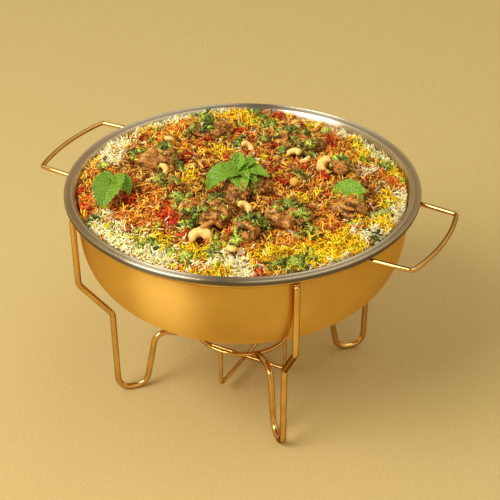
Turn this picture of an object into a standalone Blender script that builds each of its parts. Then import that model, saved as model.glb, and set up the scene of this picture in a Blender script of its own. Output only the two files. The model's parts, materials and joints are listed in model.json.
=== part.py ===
"""Biryani in a deep gold bowl that hangs in a four-legged wire stand.

Units are metres, and lengths are written in millimetres times MM. The origin is the point of the
floor under the bowl's centre, +Z is up, and the two wire handles lie on the X axis.
"""

import math
from collections import namedtuple

import bmesh
import bpy
from mathutils import Matrix, Vector
from mathutils.bvhtree import BVHTree

MM = 0.001
GAP = 0.3 * MM  # between pieces that touch

# Bowl
RIM_RADIUS = 200 * MM
RIM_TOP = 263.4 * MM
WALL = 1.5 * MM
WALL_RADIUS = 187 * MM
WALL_FOOT = 246 * MM  # the upright part of the wall ends here and the round bottom starts
BOWL_BOTTOM = 118 * MM
ROUNDNESS_ACROSS = 2.3  # exponents of the round bottom's curve
ROUNDNESS_UP = 3.3
BOTTOM_STEPS = 6
FLANGE_INNER = 190.5 * MM
LIP_HEIGHT = 6.6 * MM  # the rolled edge outside the flange
LIP_WIDTH = 3.4 * MM
ROUND_STEPS = 32  # facets round the bowl, the food and the stand's top ring

# Stand
RING_RADIUS = 196.5 * MM
RING_WIRE = 6 * MM
LEG_WIRE = 7 * MM
HANDLE_WIRE = 5 * MM
BURNER_WIRE = 5 * MM
CRADLE_WIRE = 4.5 * MM
LEG_BEARINGS = {"front": -45, "right": 45, "back": 135, "left": -135}
KNEE_RADIUS = 193.8 * MM  # where the leg turns in under the bowl
KNEE_HEIGHT = 162 * MM
ANKLE_RADIUS = 157.6 * MM
ANKLE_HEIGHT = 113.8 * MM
FOOT_OUTER = 156.4 * MM  # the two sides of the foot's U
FOOT_INNER = 122.3 * MM
SHOULDER_RADIUS = 107.4 * MM  # the inner wire turns over here, towards the burner ring
SHOULDER_HEIGHT = 79 * MM
BURNER_RADIUS = 56.4 * MM
BURNER_HEIGHT = 63.5 * MM
CRADLE_BOTTOM = 18.5 * MM
HANDLE_REACH = 240 * MM
HANDLE_HALF_WIDTH = 62.8 * MM
HANDLE_FOOT_HALF_WIDTH = 65.5 * MM
BEND_STEP = 40  # most degrees between points of a bend

# Food
FOOD_EDGE = 257.5 * MM
FOOD_CROWN = 18 * MM  # the middle of the food stands this much over its edge
CROWN_FULLNESS = 2.4
BACK_DIP = 5.5 * MM  # the edge lies this much lower towards one side
BACK_DIP_BEARING = 65
HEIGHT_WAVES = (  # height in mm, change along x and along y per metre, and start, in radians
    (1.5, 62, 21, 0.4),
    (1.3, -35, 58, 2.1),
    (0.9, 96, -71, 4.0),
    (0.7, 44, 118, 1.2),
)

# Places on the food: x, y and sizes in mm, turns in degrees, lift of the middle over the rice in mm
Chunk = namedtuple("Chunk", "name x y length width height turn lift")
CHUNKS = (
    Chunk("meat_left", -99, -21, 52, 36, 25, 24, 4),
    Chunk("meat_back_left", -82, 69, 56, 33, 23, 34, 4),
    Chunk("meat_back", 21, 94, 60, 33, 20, 20, 3),
    Chunk("meat_right_back", 90, 59, 22, 24, 15, 40, 4),
    Chunk("meat_middle", 20, -43, 32, 31, 25, 10, 5),
    Chunk("meat_middle_small", 37, -27, 17, 33, 22, 15, 4),
    Chunk("meat_streaky", 87, -59, 47, 36, 21, 18, 4),
    Chunk("meat_right", 133, -10, 35, 30, 20, 20, 4),
    Chunk("meat_front", 61, -104, 29, 38, 23, 10, 4),
    Chunk("meat_bone_side", 19, -97, 34, 42, 27, 12, 5),
    Chunk("meat_front_left", -10, -99, 20, 30, 22, 20, 3),
)
Nut = namedtuple("Nut", "name x y size turn tilt lift")
NUTS = (
    Nut("cashew_front", 25, -136, 23, 118, 20, 5),
    Nut("cashew_front_small", 66, -138, 15, 200, 30, 3),
    Nut("cashew_inner", 43, -78, 19, 60, 40, 4),
    Nut("cashew_behind_mint", -19, 46, 18, 100, 35, 4),
    Nut("cashew_back_1", 32, 60, 18, 60, 25, 5),
    Nut("cashew_back_2", 49, 58, 15, -60, 30, 5),
    Nut("cashew_back_3", 74, 48, 21, 10, 30, 5),
    Nut("cashew_left", -79, -46, 17, 30, 60, 3),
    Nut("cashew_front_left", -15, -107, 15, 80, 50, 3),
    Nut("cashew_far_left", -109, 28, 17, 200, 30, 3),
)
Lump = namedtuple("Lump", "name x y length width height turn lift")
CHICKPEA = Lump("chickpea", 63, 3, 11, 11, 11, 0, 3)
TOMATOES = (
    Lump("tomato_1", -19, -122, 10, 8, 5, 40, 1),
    Lump("tomato_2", -95, -38, 8, 7, 5, 10, 1),
)
Stick = namedtuple("Stick", "name x y length width tip turn lift")
STICKS = (
    Stick("bone", 26, -116, 26, 7, 5, 75, 8),
    Stick("cinnamon_stick", 151, 25, 21, 4, 4, 52, 3),
    Stick("chilli_piece", 162, 7, 25, 9, 4, 205, 3),
)
Leaf = namedtuple("Leaf", "length width turn pitch droop cup roll")
Sprig = namedtuple("Sprig", "name x y leaves")
SPRIGS = (
    Sprig("mint_pair", -105, -91, (Leaf(50, 38, 279, -5, 45, 5, 0), Leaf(20, 13, 85, 25, 30, 2, 0))),
    Sprig(
        "mint_sprig",
        13,
        -34,
        (
            Leaf(44, 25, 215, 45, 106, 4, -15),
            Leaf(25, 22, 290, 10, 60, 3, 0),
            Leaf(20, 12, 140, 35, 40, 2, 0),
            Leaf(30, 16, 30, 15, 30, 3, 0),
            Leaf(22, 12, 350, 8, 30, 2, 0),
        ),
    ),
    Sprig("mint_leaf_right", 135, 18, (Leaf(35, 27, 181, 12, 35, 3, 0), Leaf(13, 4, 309, 0, 20, 1, 0))),
    Sprig("mint_leaf_small", 129, 112, (Leaf(13, 10, 200, 20, 30, 1, 0),)),
)
NUT_STATIONS = 5
LEAF_THICKNESS = 1.0 * MM
LEAF_STATIONS = 4
LEAF_ROWS = (-1, 0, 1)  # across the blade, edge to edge
KNOT_RADIUS = 1.6 * MM  # of the stem where a sprig's leaves meet
DROP_FROM = 400 * MM  # a sprig is lowered from this height until it rests on the food
SEAT_GROWTH = 1.5 * GAP  # a seat is cut this much larger than its piece

GOLD = (0.80, 0.52, 0.17)


def finish(name, colour, roughness, metallic=0.0):
    """A material with one Principled BSDF."""
    material = bpy.data.materials.new(name)
    material.use_nodes = True
    shader = material.node_tree.nodes["Principled BSDF"]
    shader.inputs["Base Color"].default_value = (*colour, 1)
    shader.inputs["Roughness"].default_value = roughness
    shader.inputs["Metallic"].default_value = metallic
    return material


def clear_scene():
    for thing in list(bpy.data.objects):
        bpy.data.objects.remove(thing)


def add_object(name, shape, material, smooth_angle=50):
    """An object from a bmesh, in triangles, shaded smooth except across sharp edges."""
    bmesh.ops.recalc_face_normals(shape, faces=shape.faces)
    bmesh.ops.triangulate(shape, faces=shape.faces)
    mesh = bpy.data.meshes.new(name)
    shape.to_mesh(mesh)
    shape.free()
    mesh.shade_smooth()
    mesh.set_sharp_from_angle(angle=math.radians(smooth_angle))
    mesh.materials.append(material)
    thing = bpy.data.objects.new(name, mesh)
    bpy.context.scene.collection.objects.link(thing)
    return thing


def polar(radius, bearing, height):
    """A point from its distance from the axis, its bearing in degrees and its height."""
    angle = math.radians(bearing)
    return Vector((radius * math.cos(angle), radius * math.sin(angle), height))


# Bowl


def bottom_curve(inset):
    """The round bottom as (radius, height), from the middle outwards, this far inside the bowl's skin."""
    radius = WALL_RADIUS - inset
    depth = WALL_FOOT - BOWL_BOTTOM - inset
    points = []
    for step in range(BOTTOM_STEPS + 1):
        angle = math.pi / 2 * (1 - step / BOTTOM_STEPS)
        across = max(math.cos(angle), 0) ** (2 / ROUNDNESS_ACROSS)
        down = max(math.sin(angle), 0) ** (2 / ROUNDNESS_UP)
        points.append((radius * across, WALL_FOOT - depth * down))
    points[0] = (0, WALL_FOOT - depth)
    return points


def lip_curve():
    """The rolled edge, from the underside of the flange round to its top side."""
    middle = (RIM_RADIUS - LIP_WIDTH / 2, RIM_TOP - LIP_HEIGHT / 2)
    points = []
    for degrees in range(-140, 141, 70):
        angle = math.radians(degrees)
        points.append(
            (middle[0] + LIP_WIDTH / 2 * math.cos(angle), middle[1] + LIP_HEIGHT / 2 * math.sin(angle))
        )
    return points


def turned(outline, steps):
    """A bmesh turned about Z from (radius, height) points that start and end on the axis."""
    shape = bmesh.new()
    points = [shape.verts.new((radius, 0, height)) for radius, height in outline]
    edges = [shape.edges.new(pair) for pair in zip(points, points[1:])]
    turn = dict(axis=(0, 0, 1), cent=(0, 0, 0), angle=2 * math.pi, steps=steps, use_merge=True)
    bmesh.ops.spin(shape, geom=points + edges, **turn)
    bmesh.ops.remove_doubles(shape, verts=shape.verts, dist=0.001 * MM)
    return shape


def add_bowl(gold):
    """Round-bottomed bowl with a flat flange and a rolled edge, cut from one skin."""
    flange_top = RIM_TOP - 0.5 * MM
    turn_in = FLANGE_INNER - WALL_RADIUS
    outside = bottom_curve(0) + [
        (WALL_RADIUS, flange_top - WALL - turn_in),
        (WALL_RADIUS + 0.3 * turn_in, flange_top - WALL - 0.3 * turn_in),
        (FLANGE_INNER, flange_top - WALL),
    ]
    wall = WALL_RADIUS - WALL
    inside = [
        (RIM_RADIUS - LIP_WIDTH - 0.5 * MM, flange_top),
        (FLANGE_INNER, flange_top),
        (wall + 0.3 * turn_in, flange_top - 0.3 * turn_in - 0.4 * MM),
        (wall, flange_top - turn_in - WALL),
    ] + bottom_curve(WALL)[::-1]
    outline = outside + lip_curve() + inside
    add_object("bowl", turned(outline, ROUND_STEPS), gold)


# Stand


def filleted(corners):
    """Points of a wire that turns at each (point, bend radius) corner; a radius of 0 keeps it sharp."""
    path = [corners[0][0]]
    for before, (corner, bend), after in zip(corners, corners[1:], corners[2:]):
        if bend == 0:
            path.append(corner)
            continue
        back = (before[0] - corner).normalized()
        onward = (after[0] - corner).normalized()
        half = back.angle(onward) / 2
        centre = corner + (back + onward).normalized() * bend / math.sin(half)
        start = corner + back * bend / math.tan(half) - centre
        turn = math.pi - 2 * half
        steps = max(1, math.ceil(math.degrees(turn) / BEND_STEP))
        axis = back.cross(onward)
        for step in range(steps + 1):
            path.append(centre + Matrix.Rotation(-turn * step / steps, 3, axis) @ start)
    path.append(corners[-1][0])
    return path


def add_wire(name, path, width, material, closed=False, facets=2):
    """A round wire with closed ends along the path; it has 4 sides and 2 more for each facet."""
    curve = bpy.data.curves.new(name, "CURVE")
    curve.dimensions = "3D"
    curve.bevel_depth = width / 2
    curve.bevel_resolution = facets
    curve.use_fill_caps = not closed
    spline = curve.splines.new("POLY")
    spline.points.add(len(path) - 1)
    for place, point in zip(spline.points, path):
        place.co = (*point, 1)
    spline.use_cyclic_u = closed
    curve.materials.append(material)
    wire = bpy.data.objects.new(name, curve)
    bpy.context.scene.collection.objects.link(wire)
    return wire


def circle(radius, height, steps):
    return [polar(radius, 360 * step / steps, height) for step in range(steps)]


def ring_height():
    """The top ring's wire touches the bowl's rolled edge from below."""
    return RIM_TOP - LIP_HEIGHT - GAP - RING_WIRE / 2


def add_leg(name, bearing, material):
    """One wire from under the top ring, in below the bowl, round the foot and over to the burner ring."""
    top = ring_height() - RING_WIRE / 2 - GAP - LEG_WIRE / 2
    floor = LEG_WIRE / 2
    shoulder = Vector((SHOULDER_RADIUS, SHOULDER_HEIGHT))
    weld = Vector((BURNER_RADIUS, BURNER_HEIGHT))
    end = weld + (shoulder - weld).normalized() * (BURNER_WIRE / 2 + GAP)
    bends = (
        (RING_RADIUS - 5.5 * MM, top, 0),
        (RING_RADIUS, top, 4 * MM),
        (KNEE_RADIUS, KNEE_HEIGHT, 14 * MM),
        (ANKLE_RADIUS, ANKLE_HEIGHT, 14 * MM),
        (FOOT_OUTER, floor, 16 * MM),
        (FOOT_INNER, floor, 16 * MM),
        (*shoulder, 15 * MM),
        (*end, 0),
    )
    corners = [(polar(radius, bearing, height), bend) for radius, height, bend in bends]
    add_wire(name, filleted(corners), LEG_WIRE, material)


def add_handle(name, side, material):
    """Two arms from the top ring, joined by an arc that follows the rim."""
    height = ring_height()
    foot_radius = RING_RADIUS + RING_WIRE / 2 + GAP
    foot = math.sqrt(foot_radius**2 - (HANDLE_FOOT_HALF_WIDTH - HANDLE_WIRE / 2) ** 2)
    half_turn = math.degrees(math.asin(HANDLE_HALF_WIDTH / HANDLE_REACH))
    arc = [polar(HANDLE_REACH, half_turn * step / 4, height) for step in range(-4, 5)]
    corners = [(Vector((foot, -HANDLE_FOOT_HALF_WIDTH, height)), 0), (arc[0], 5 * MM)]
    corners += [(point, 0) for point in arc[1:-1]]
    corners += [(arc[-1], 5 * MM), (Vector((foot, HANDLE_FOOT_HALF_WIDTH, height)), 0)]
    wire = add_wire(name, filleted(corners), HANDLE_WIRE, material, facets=1)
    wire.rotation_euler.z = math.radians(90 - 90 * side)


def add_cradle(name, bearing, drop, material):
    """A square U that hangs from the burner ring and crosses the middle."""
    top = BURNER_HEIGHT - BURNER_WIRE / 2 - GAP
    floor = CRADLE_BOTTOM - drop
    corners = [
        (polar(BURNER_RADIUS, bearing, top), 0),
        (polar(BURNER_RADIUS, bearing, floor), 4 * MM),
        (polar(-BURNER_RADIUS, bearing, floor), 4 * MM),
        (polar(-BURNER_RADIUS, bearing, top), 0),
    ]
    add_wire(name, filleted(corners), CRADLE_WIRE, material, facets=1)


def add_stand(gold):
    rim_circle = circle(RING_RADIUS, ring_height(), ROUND_STEPS)
    burner_circle = circle(BURNER_RADIUS, BURNER_HEIGHT, ROUND_STEPS // 2)
    add_wire("top_ring", rim_circle, RING_WIRE, gold, closed=True, facets=1)
    for place, bearing in LEG_BEARINGS.items():
        add_leg(f"leg_{place}", bearing, gold)
    add_handle("handle_right", 1, gold)
    add_handle("handle_left", -1, gold)
    add_wire("burner_ring", burner_circle, BURNER_WIRE, gold, closed=True, facets=1)
    add_cradle("cradle_wire_upper", 0, 0, gold)
    add_cradle("cradle_wire_lower", 90, CRADLE_WIRE + GAP, gold)


# Food


def food_height(x, y):
    """Height of the rice's outline at a place."""
    edge = WALL_RADIUS - WALL
    out = min(math.hypot(x, y) / edge, 1)
    inland = 1 - out**8
    dip = BACK_DIP * out**3 * max(math.cos(math.atan2(y, x) - math.radians(BACK_DIP_BEARING)), 0) ** 4
    waves = sum(high * MM * math.sin(fx * x + fy * y + start) for high, fx, fy, start in HEIGHT_WAVES)
    return FOOD_EDGE + FOOD_CROWN * (1 - out**CROWN_FULLNESS) - dip + waves * (0.4 + 0.6 * inland)


def add_rice(material):
    """The heap: its uneven top, and below it the round inside of the bowl."""
    shape = bmesh.new()
    edge = WALL_RADIUS - WALL - GAP
    rings = []
    for out in (0.16, 0.32, 0.48, 0.64, 0.79, 0.91, 1.0):
        points = circle(edge * out, 0, ROUND_STEPS)
        rings.append([(point.x, point.y, food_height(point.x, point.y)) for point in points])
    for radius, height in bottom_curve(WALL + GAP)[:0:-1]:
        rings.append([tuple(point) for point in circle(radius, height, ROUND_STEPS)])
    loops = [[shape.verts.new(point) for point in ring] for ring in rings]
    top = shape.verts.new((0, 0, food_height(0, 0)))
    bottom = shape.verts.new((0, 0, BOWL_BOTTOM + WALL + GAP))
    for step in range(ROUND_STEPS):
        after = (step + 1) % ROUND_STEPS
        shape.faces.new((top, loops[0][step], loops[0][after]))
        shape.faces.new((bottom, loops[-1][after], loops[-1][step]))
        for upper, lower in zip(loops, loops[1:]):
            shape.faces.new((upper[step], lower[step], lower[after], upper[after]))
    return add_object("rice_heap", shape, material)


def placed(thing, x, y, lift, turn, tilt=0):
    """Set a piece on the rice, its middle this far over it."""
    x, y, lift = x * MM, y * MM, lift * MM
    thing.matrix_world = (
        Matrix.Translation((x, y, food_height(x, y) + lift))
        @ Matrix.Rotation(math.radians(turn), 4, "Z")
        @ Matrix.Rotation(math.radians(tilt), 4, "X")
    )
    return thing


def rounded_block(length, width, height, squareness, ridges, around, along):
    """A block with rounded sides and soft ridges, longest along X; ridges is their depth and start."""
    shape = bmesh.new()
    bmesh.ops.create_uvsphere(shape, u_segments=around, v_segments=along, radius=1)
    depth, start = ridges
    for vert in shape.verts:
        x, y, z = vert.co
        reach = (abs(x) ** squareness + abs(y) ** squareness + abs(z) ** squareness) ** (-1 / squareness)
        swell = math.sin(4 * x + start) + math.sin(5 * y - 2 * start) * math.cos(3 * z + start)
        reach *= 1 + depth * swell
        vert.co = Vector((x * length, y * width, z * height)) * reach * MM / 2
    return shape


def add_chunk(chunk, index, material):
    shape = rounded_block(chunk.length, chunk.width, chunk.height, 2.7, (0.09, 1.7 * index), 9, 6)
    return placed(add_object(chunk.name, shape, material), chunk.x, chunk.y, chunk.lift, chunk.turn)


def add_lump(lump, material):
    shape = rounded_block(lump.length, lump.width, lump.height, 2.3, (0.03, 1.0), 7, 5)
    return placed(add_object(lump.name, shape, material), lump.x, lump.y, lump.lift, lump.turn)


def tube_body(stations, sides):
    """A closed body round (middle, radius across, radius up, direction) stations."""
    shape = bmesh.new()
    loops = []
    for middle, across, up, direction in stations:
        sideways = Vector((-math.sin(direction), math.cos(direction), 0))
        loop = []
        for side in range(sides):
            angle = 2 * math.pi * side / sides
            offset = sideways * across * math.cos(angle) + Vector((0, 0, up * math.sin(angle)))
            loop.append(shape.verts.new(middle + offset))
        loops.append(loop)
    for first, second in zip(loops, loops[1:]):
        for side in range(sides):
            after = (side + 1) % sides
            shape.faces.new((first[side], first[after], second[after], second[side]))
    shape.faces.new(loops[0][::-1])
    shape.faces.new(loops[-1])
    return shape


def add_nut(nut, material):
    """A cashew: a plump crescent, thicker at its outer end and blunt at both."""
    thick = 0.21 * nut.size * MM
    bend = nut.size * MM / 2 - thick
    stations = []
    for step in range(NUT_STATIONS + 1):
        along = step / NUT_STATIONS
        angle = math.radians(-100 + 200 * along)
        blunt = (1 - abs(2 * along - 1) ** 3.5 * 0.75) * (1.08 - 0.16 * along)
        middle = Vector((bend * math.cos(angle), bend * math.sin(angle), 0))
        stations.append((middle, thick * blunt, thick * blunt * 0.92, angle + math.pi / 2))
    thing = add_object(nut.name, tube_body(stations, 6), material)
    return placed(thing, nut.x, nut.y, nut.lift, nut.turn, nut.tilt)


def add_stick(stick, material):
    """A tapered stick with blunt ends along its turn."""
    stations = []
    for along, blunt in ((0, 0.7), (0.08, 1), (0.5, 1), (0.92, 1), (1, 0.7)):
        thick = (stick.width + (stick.tip - stick.width) * along) * MM / 2 * blunt
        stations.append((Vector((stick.length * (along - 0.5) * MM, 0, 0)), thick, thick * 0.85, 0))
    thing = add_object(stick.name, tube_body(stations, 7), material)
    return placed(thing, stick.x, stick.y, stick.lift, stick.turn)


def leaf_shape(leaf):
    """A leaf blade with a short foot at the origin, bent down along its length and cupped across."""
    shape = bmesh.new()
    length, width, cup = leaf.length * MM, leaf.width * MM, leaf.cup * MM
    place = Vector((0, 0, 0))
    sheets = ([], [])
    for station in range(LEAF_STATIONS + 1):
        along = station / LEAF_STATIONS
        slope = math.radians(leaf.pitch - leaf.droop * along)
        forward = Vector((math.cos(slope), 0, math.sin(slope)))
        upward = Vector((-math.sin(slope), 0, math.cos(slope)))
        if station:
            place = place + forward * length / LEAF_STATIONS
        half = width / 2 * math.sin(math.pi * (0.04 + 0.94 * along) ** 0.8) ** 0.85
        half = max(half, 0.05 * width)
        for sheet, below in zip(sheets, (0, LEAF_THICKNESS)):
            row = []
            for across in LEAF_ROWS:
                lift = cup * across**2 * half / width * 2 - below
                row.append(shape.verts.new(place + upward * lift + Vector((0, half * across, 0))))
            sheet.append(row)
    upper, lower = sheets
    for station in range(LEAF_STATIONS):
        for side in range(len(LEAF_ROWS) - 1):
            for sheet, flip in ((upper, 1), (lower, -1)):
                corners = (
                    sheet[station][side],
                    sheet[station + 1][side],
                    sheet[station + 1][side + 1],
                    sheet[station][side + 1],
                )
                shape.faces.new(corners[::flip])
        for side in (0, len(LEAF_ROWS) - 1):
            shape.faces.new(
                (upper[station][side], upper[station + 1][side], lower[station + 1][side], lower[station][side])
            )
    for station in (0, LEAF_STATIONS):
        for side in range(len(LEAF_ROWS) - 1):
            shape.faces.new(
                (
                    upper[station][side],
                    upper[station][side + 1],
                    lower[station][side + 1],
                    lower[station][side],
                )
            )
    spin = Matrix.Rotation(math.radians(leaf.turn), 4, "Z") @ Matrix.Rotation(math.radians(leaf.roll), 4, "X")
    shape.transform(spin)
    return shape


def add_sprig(sprig, material, supports):
    """Leaves that meet in one knot of stem, lowered until they rest on the food."""
    knot = bmesh.new()
    bmesh.ops.create_uvsphere(knot, u_segments=7, v_segments=5, radius=KNOT_RADIUS)
    thing = add_object(sprig.name, knot, material)
    for index, leaf in enumerate(sprig.leaves):
        blade = add_object(f"{sprig.name}_blade_{index}", leaf_shape(leaf), material)
        hide_helper(blade)
        blade.parent = thing
        join = thing.modifiers.new(f"join_{index}", "BOOLEAN")
        join.operation = "UNION"
        join.solver = "EXACT"
        join.object = blade
    thing.location = (sprig.x * MM, sprig.y * MM, DROP_FROM)
    thing.location.z -= clearance(thing, supports) - 2 * GAP
    return thing


def hide_helper(thing):
    thing.hide_render = True
    thing.display_type = "WIRE"


def evaluated_tree(thing):
    """The object's finished surface in world space, for measuring."""
    bpy.context.view_layer.update()
    graph = bpy.context.evaluated_depsgraph_get()
    evaluated = thing.evaluated_get(graph)
    mesh = evaluated.to_mesh()
    points = [evaluated.matrix_world @ vert.co for vert in mesh.vertices]
    faces = [tuple(face.vertices) for face in mesh.polygons]
    evaluated.to_mesh_clear()
    return points, BVHTree.FromPolygons(points, faces)


def clearance(thing, supports):
    """How far the piece can come straight down before it meets a support."""
    points, surface = evaluated_tree(thing)
    least = math.inf
    for support in supports:
        support_points, support_surface = evaluated_tree(support)
        for point in points:
            hit = support_surface.ray_cast(point, (0, 0, -1))
            if hit[0]:
                least = min(least, hit[3])
        for point in support_points:
            hit = surface.ray_cast(point, (0, 0, 1))
            if hit[0]:
                least = min(least, hit[3])
    return least


def world_box(thing):
    corners = [thing.matrix_world @ vert.co for vert in thing.data.vertices]
    return [(min(values), max(values)) for values in zip(*corners)]


def near(first, second):
    """True where the boxes round two pieces meet."""
    pairs = zip(world_box(first), world_box(second))
    return all(low < other_high and other_low < high for (low, high), (other_low, other_high) in pairs)


def seat(thing, hosts):
    """Cut room for the thing, and a gap round it, out of each host that it meets."""
    cutter = bpy.data.objects.new(f"{thing.name}_seat", thing.data.copy())
    bpy.context.scene.collection.objects.link(cutter)
    cutter.matrix_world = thing.matrix_world
    hide_helper(cutter)
    for vert, normal in zip(cutter.data.vertices, [vert.normal.copy() for vert in cutter.data.vertices]):
        vert.co += normal * SEAT_GROWTH
    for host in hosts:
        if near(thing, host):
            cut = host.modifiers.new(cutter.name, "BOOLEAN")
            cut.operation = "DIFFERENCE"
            cut.solver = "EXACT"
            cut.object = cutter


def add_food():
    rice = add_rice(finish("rice", (0.85, 0.68, 0.42), 0.6))
    meat = finish("meat", (0.32, 0.14, 0.06), 0.5)
    nut = finish("cashew", (0.85, 0.58, 0.28), 0.45)
    tomato = finish("tomato", (0.65, 0.05, 0.02), 0.35)
    chunks = [add_chunk(chunk, index, meat) for index, chunk in enumerate(CHUNKS)]
    toppings = [add_nut(place, nut) for place in NUTS]
    toppings.append(add_lump(CHICKPEA, finish("chickpea", (0.72, 0.48, 0.12), 0.45)))
    toppings += [add_lump(place, tomato) for place in TOMATOES]
    stick_finishes = {
        "bone": finish("bone", (0.60, 0.36, 0.18), 0.5),
        "cinnamon_stick": finish("cinnamon", (0.24, 0.07, 0.03), 0.6),
        "chilli_piece": finish("chilli", (0.42, 0.50, 0.12), 0.4),
    }
    toppings += [add_stick(place, stick_finishes[place.name]) for place in STICKS]
    mint = finish("mint", (0.12, 0.32, 0.04), 0.45)
    for sprig in SPRIGS:
        add_sprig(sprig, mint, [rice, *chunks, *toppings])
    for topping in toppings:
        seat(topping, [*chunks, rice])
    for index, chunk in enumerate(chunks):
        seat(chunk, [*chunks[index + 1 :], rice])


clear_scene()
gold_finish = finish("gold", GOLD, 0.2, 1.0)
add_bowl(gold_finish)
add_stand(gold_finish)
add_food()
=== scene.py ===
"""Looks of a biryani in its deep gold bowl and wire stand, laid out as a Blender add-on.

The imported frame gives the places; lengths are metres, written in millimetres times MM.
"""

import functools
import json
import math
from collections import namedtuple

import bpy
import numpy as np
from bpy.props import FloatProperty, FloatVectorProperty, IntProperty, PointerProperty
from bpy.types import Operator, Panel, PropertyGroup
from mathutils import Matrix, Vector
from mathutils.bvhtree import BVHTree

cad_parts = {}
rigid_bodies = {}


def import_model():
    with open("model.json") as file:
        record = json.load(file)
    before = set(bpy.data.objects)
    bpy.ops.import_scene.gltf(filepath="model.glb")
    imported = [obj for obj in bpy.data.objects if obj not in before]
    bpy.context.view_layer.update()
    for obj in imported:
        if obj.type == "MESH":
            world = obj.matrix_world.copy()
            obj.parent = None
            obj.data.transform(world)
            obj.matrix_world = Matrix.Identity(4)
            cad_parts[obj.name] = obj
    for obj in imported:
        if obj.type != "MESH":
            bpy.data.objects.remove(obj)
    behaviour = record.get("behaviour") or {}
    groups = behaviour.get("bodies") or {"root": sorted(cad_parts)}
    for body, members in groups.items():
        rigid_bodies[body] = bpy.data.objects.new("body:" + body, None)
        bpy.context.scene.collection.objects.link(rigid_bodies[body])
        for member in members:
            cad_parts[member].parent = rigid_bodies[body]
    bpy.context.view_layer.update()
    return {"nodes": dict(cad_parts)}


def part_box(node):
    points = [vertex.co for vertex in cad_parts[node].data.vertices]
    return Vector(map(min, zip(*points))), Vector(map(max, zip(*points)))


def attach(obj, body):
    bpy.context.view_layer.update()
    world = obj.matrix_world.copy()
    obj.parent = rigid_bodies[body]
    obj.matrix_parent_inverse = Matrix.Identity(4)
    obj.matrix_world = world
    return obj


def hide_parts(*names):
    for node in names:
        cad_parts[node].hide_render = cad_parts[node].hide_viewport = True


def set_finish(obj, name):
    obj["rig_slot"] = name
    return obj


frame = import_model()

bl_info = {
    "name": "Biryani Looks",
    "version": (1, 0, 0),
    "blender": (4, 5, 0),
    "location": "View3D > Sidebar > Biryani",
    "description": "Builds the finished surfaces of a biryani in its bowl and stand",
    "category": "Object",
}

MM = 0.001
TAU = 2 * math.pi

# Heights and radii that the frame gives
RIM_RADIUS = 200 * MM
RIM_TOP = 263.4 * MM
RING_WIRE = 6 * MM
RING_INSET = 5.6 * MM  # how far the ring is tucked in under the lip
RING_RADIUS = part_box("top_ring")[1].x - RING_WIRE / 2 - RING_INSET
LEG_TOP_RADIUS = RING_RADIUS + 3.6 * MM
RING_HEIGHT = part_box("top_ring")[1].z - RING_WIRE / 2
BURNER_WIRE = 5 * MM
BURNER_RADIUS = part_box("burner_ring")[1].x - BURNER_WIRE / 2
BURNER_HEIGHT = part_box("burner_ring")[1].z - BURNER_WIRE / 2
BOWL_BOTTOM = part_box("bowl")[0].z
RICE_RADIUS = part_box("rice_heap")[1].x
CHUNKS = sorted(name for name in frame["nodes"] if name.startswith("meat_"))

# Bowl profile
WALL_RADIUS = 187 * MM
WALL_FOOT = 246 * MM
FLANGE_INNER = 190.5 * MM
LIP_WIDTH = 3.4 * MM
LIP_HEIGHT = 6.6 * MM
ROUNDNESS_ACROSS = 2.3
ROUNDNESS_UP = 3.3
SKIN = 0.7 * MM  # the gold skin outside the steel one
SKIN_GAP = 0.05 * MM
WALL = 1.5 * MM
FLANGE_DROP = 0.9 * MM  # from the lip's top down to the flange
FLARE_DEPTH = 14 * MM
FLARE_STEPS = 8
TROUGH_WIDTH = 5.6 * MM
TROUGH_DEPTH = 0.55 * MM

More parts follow.
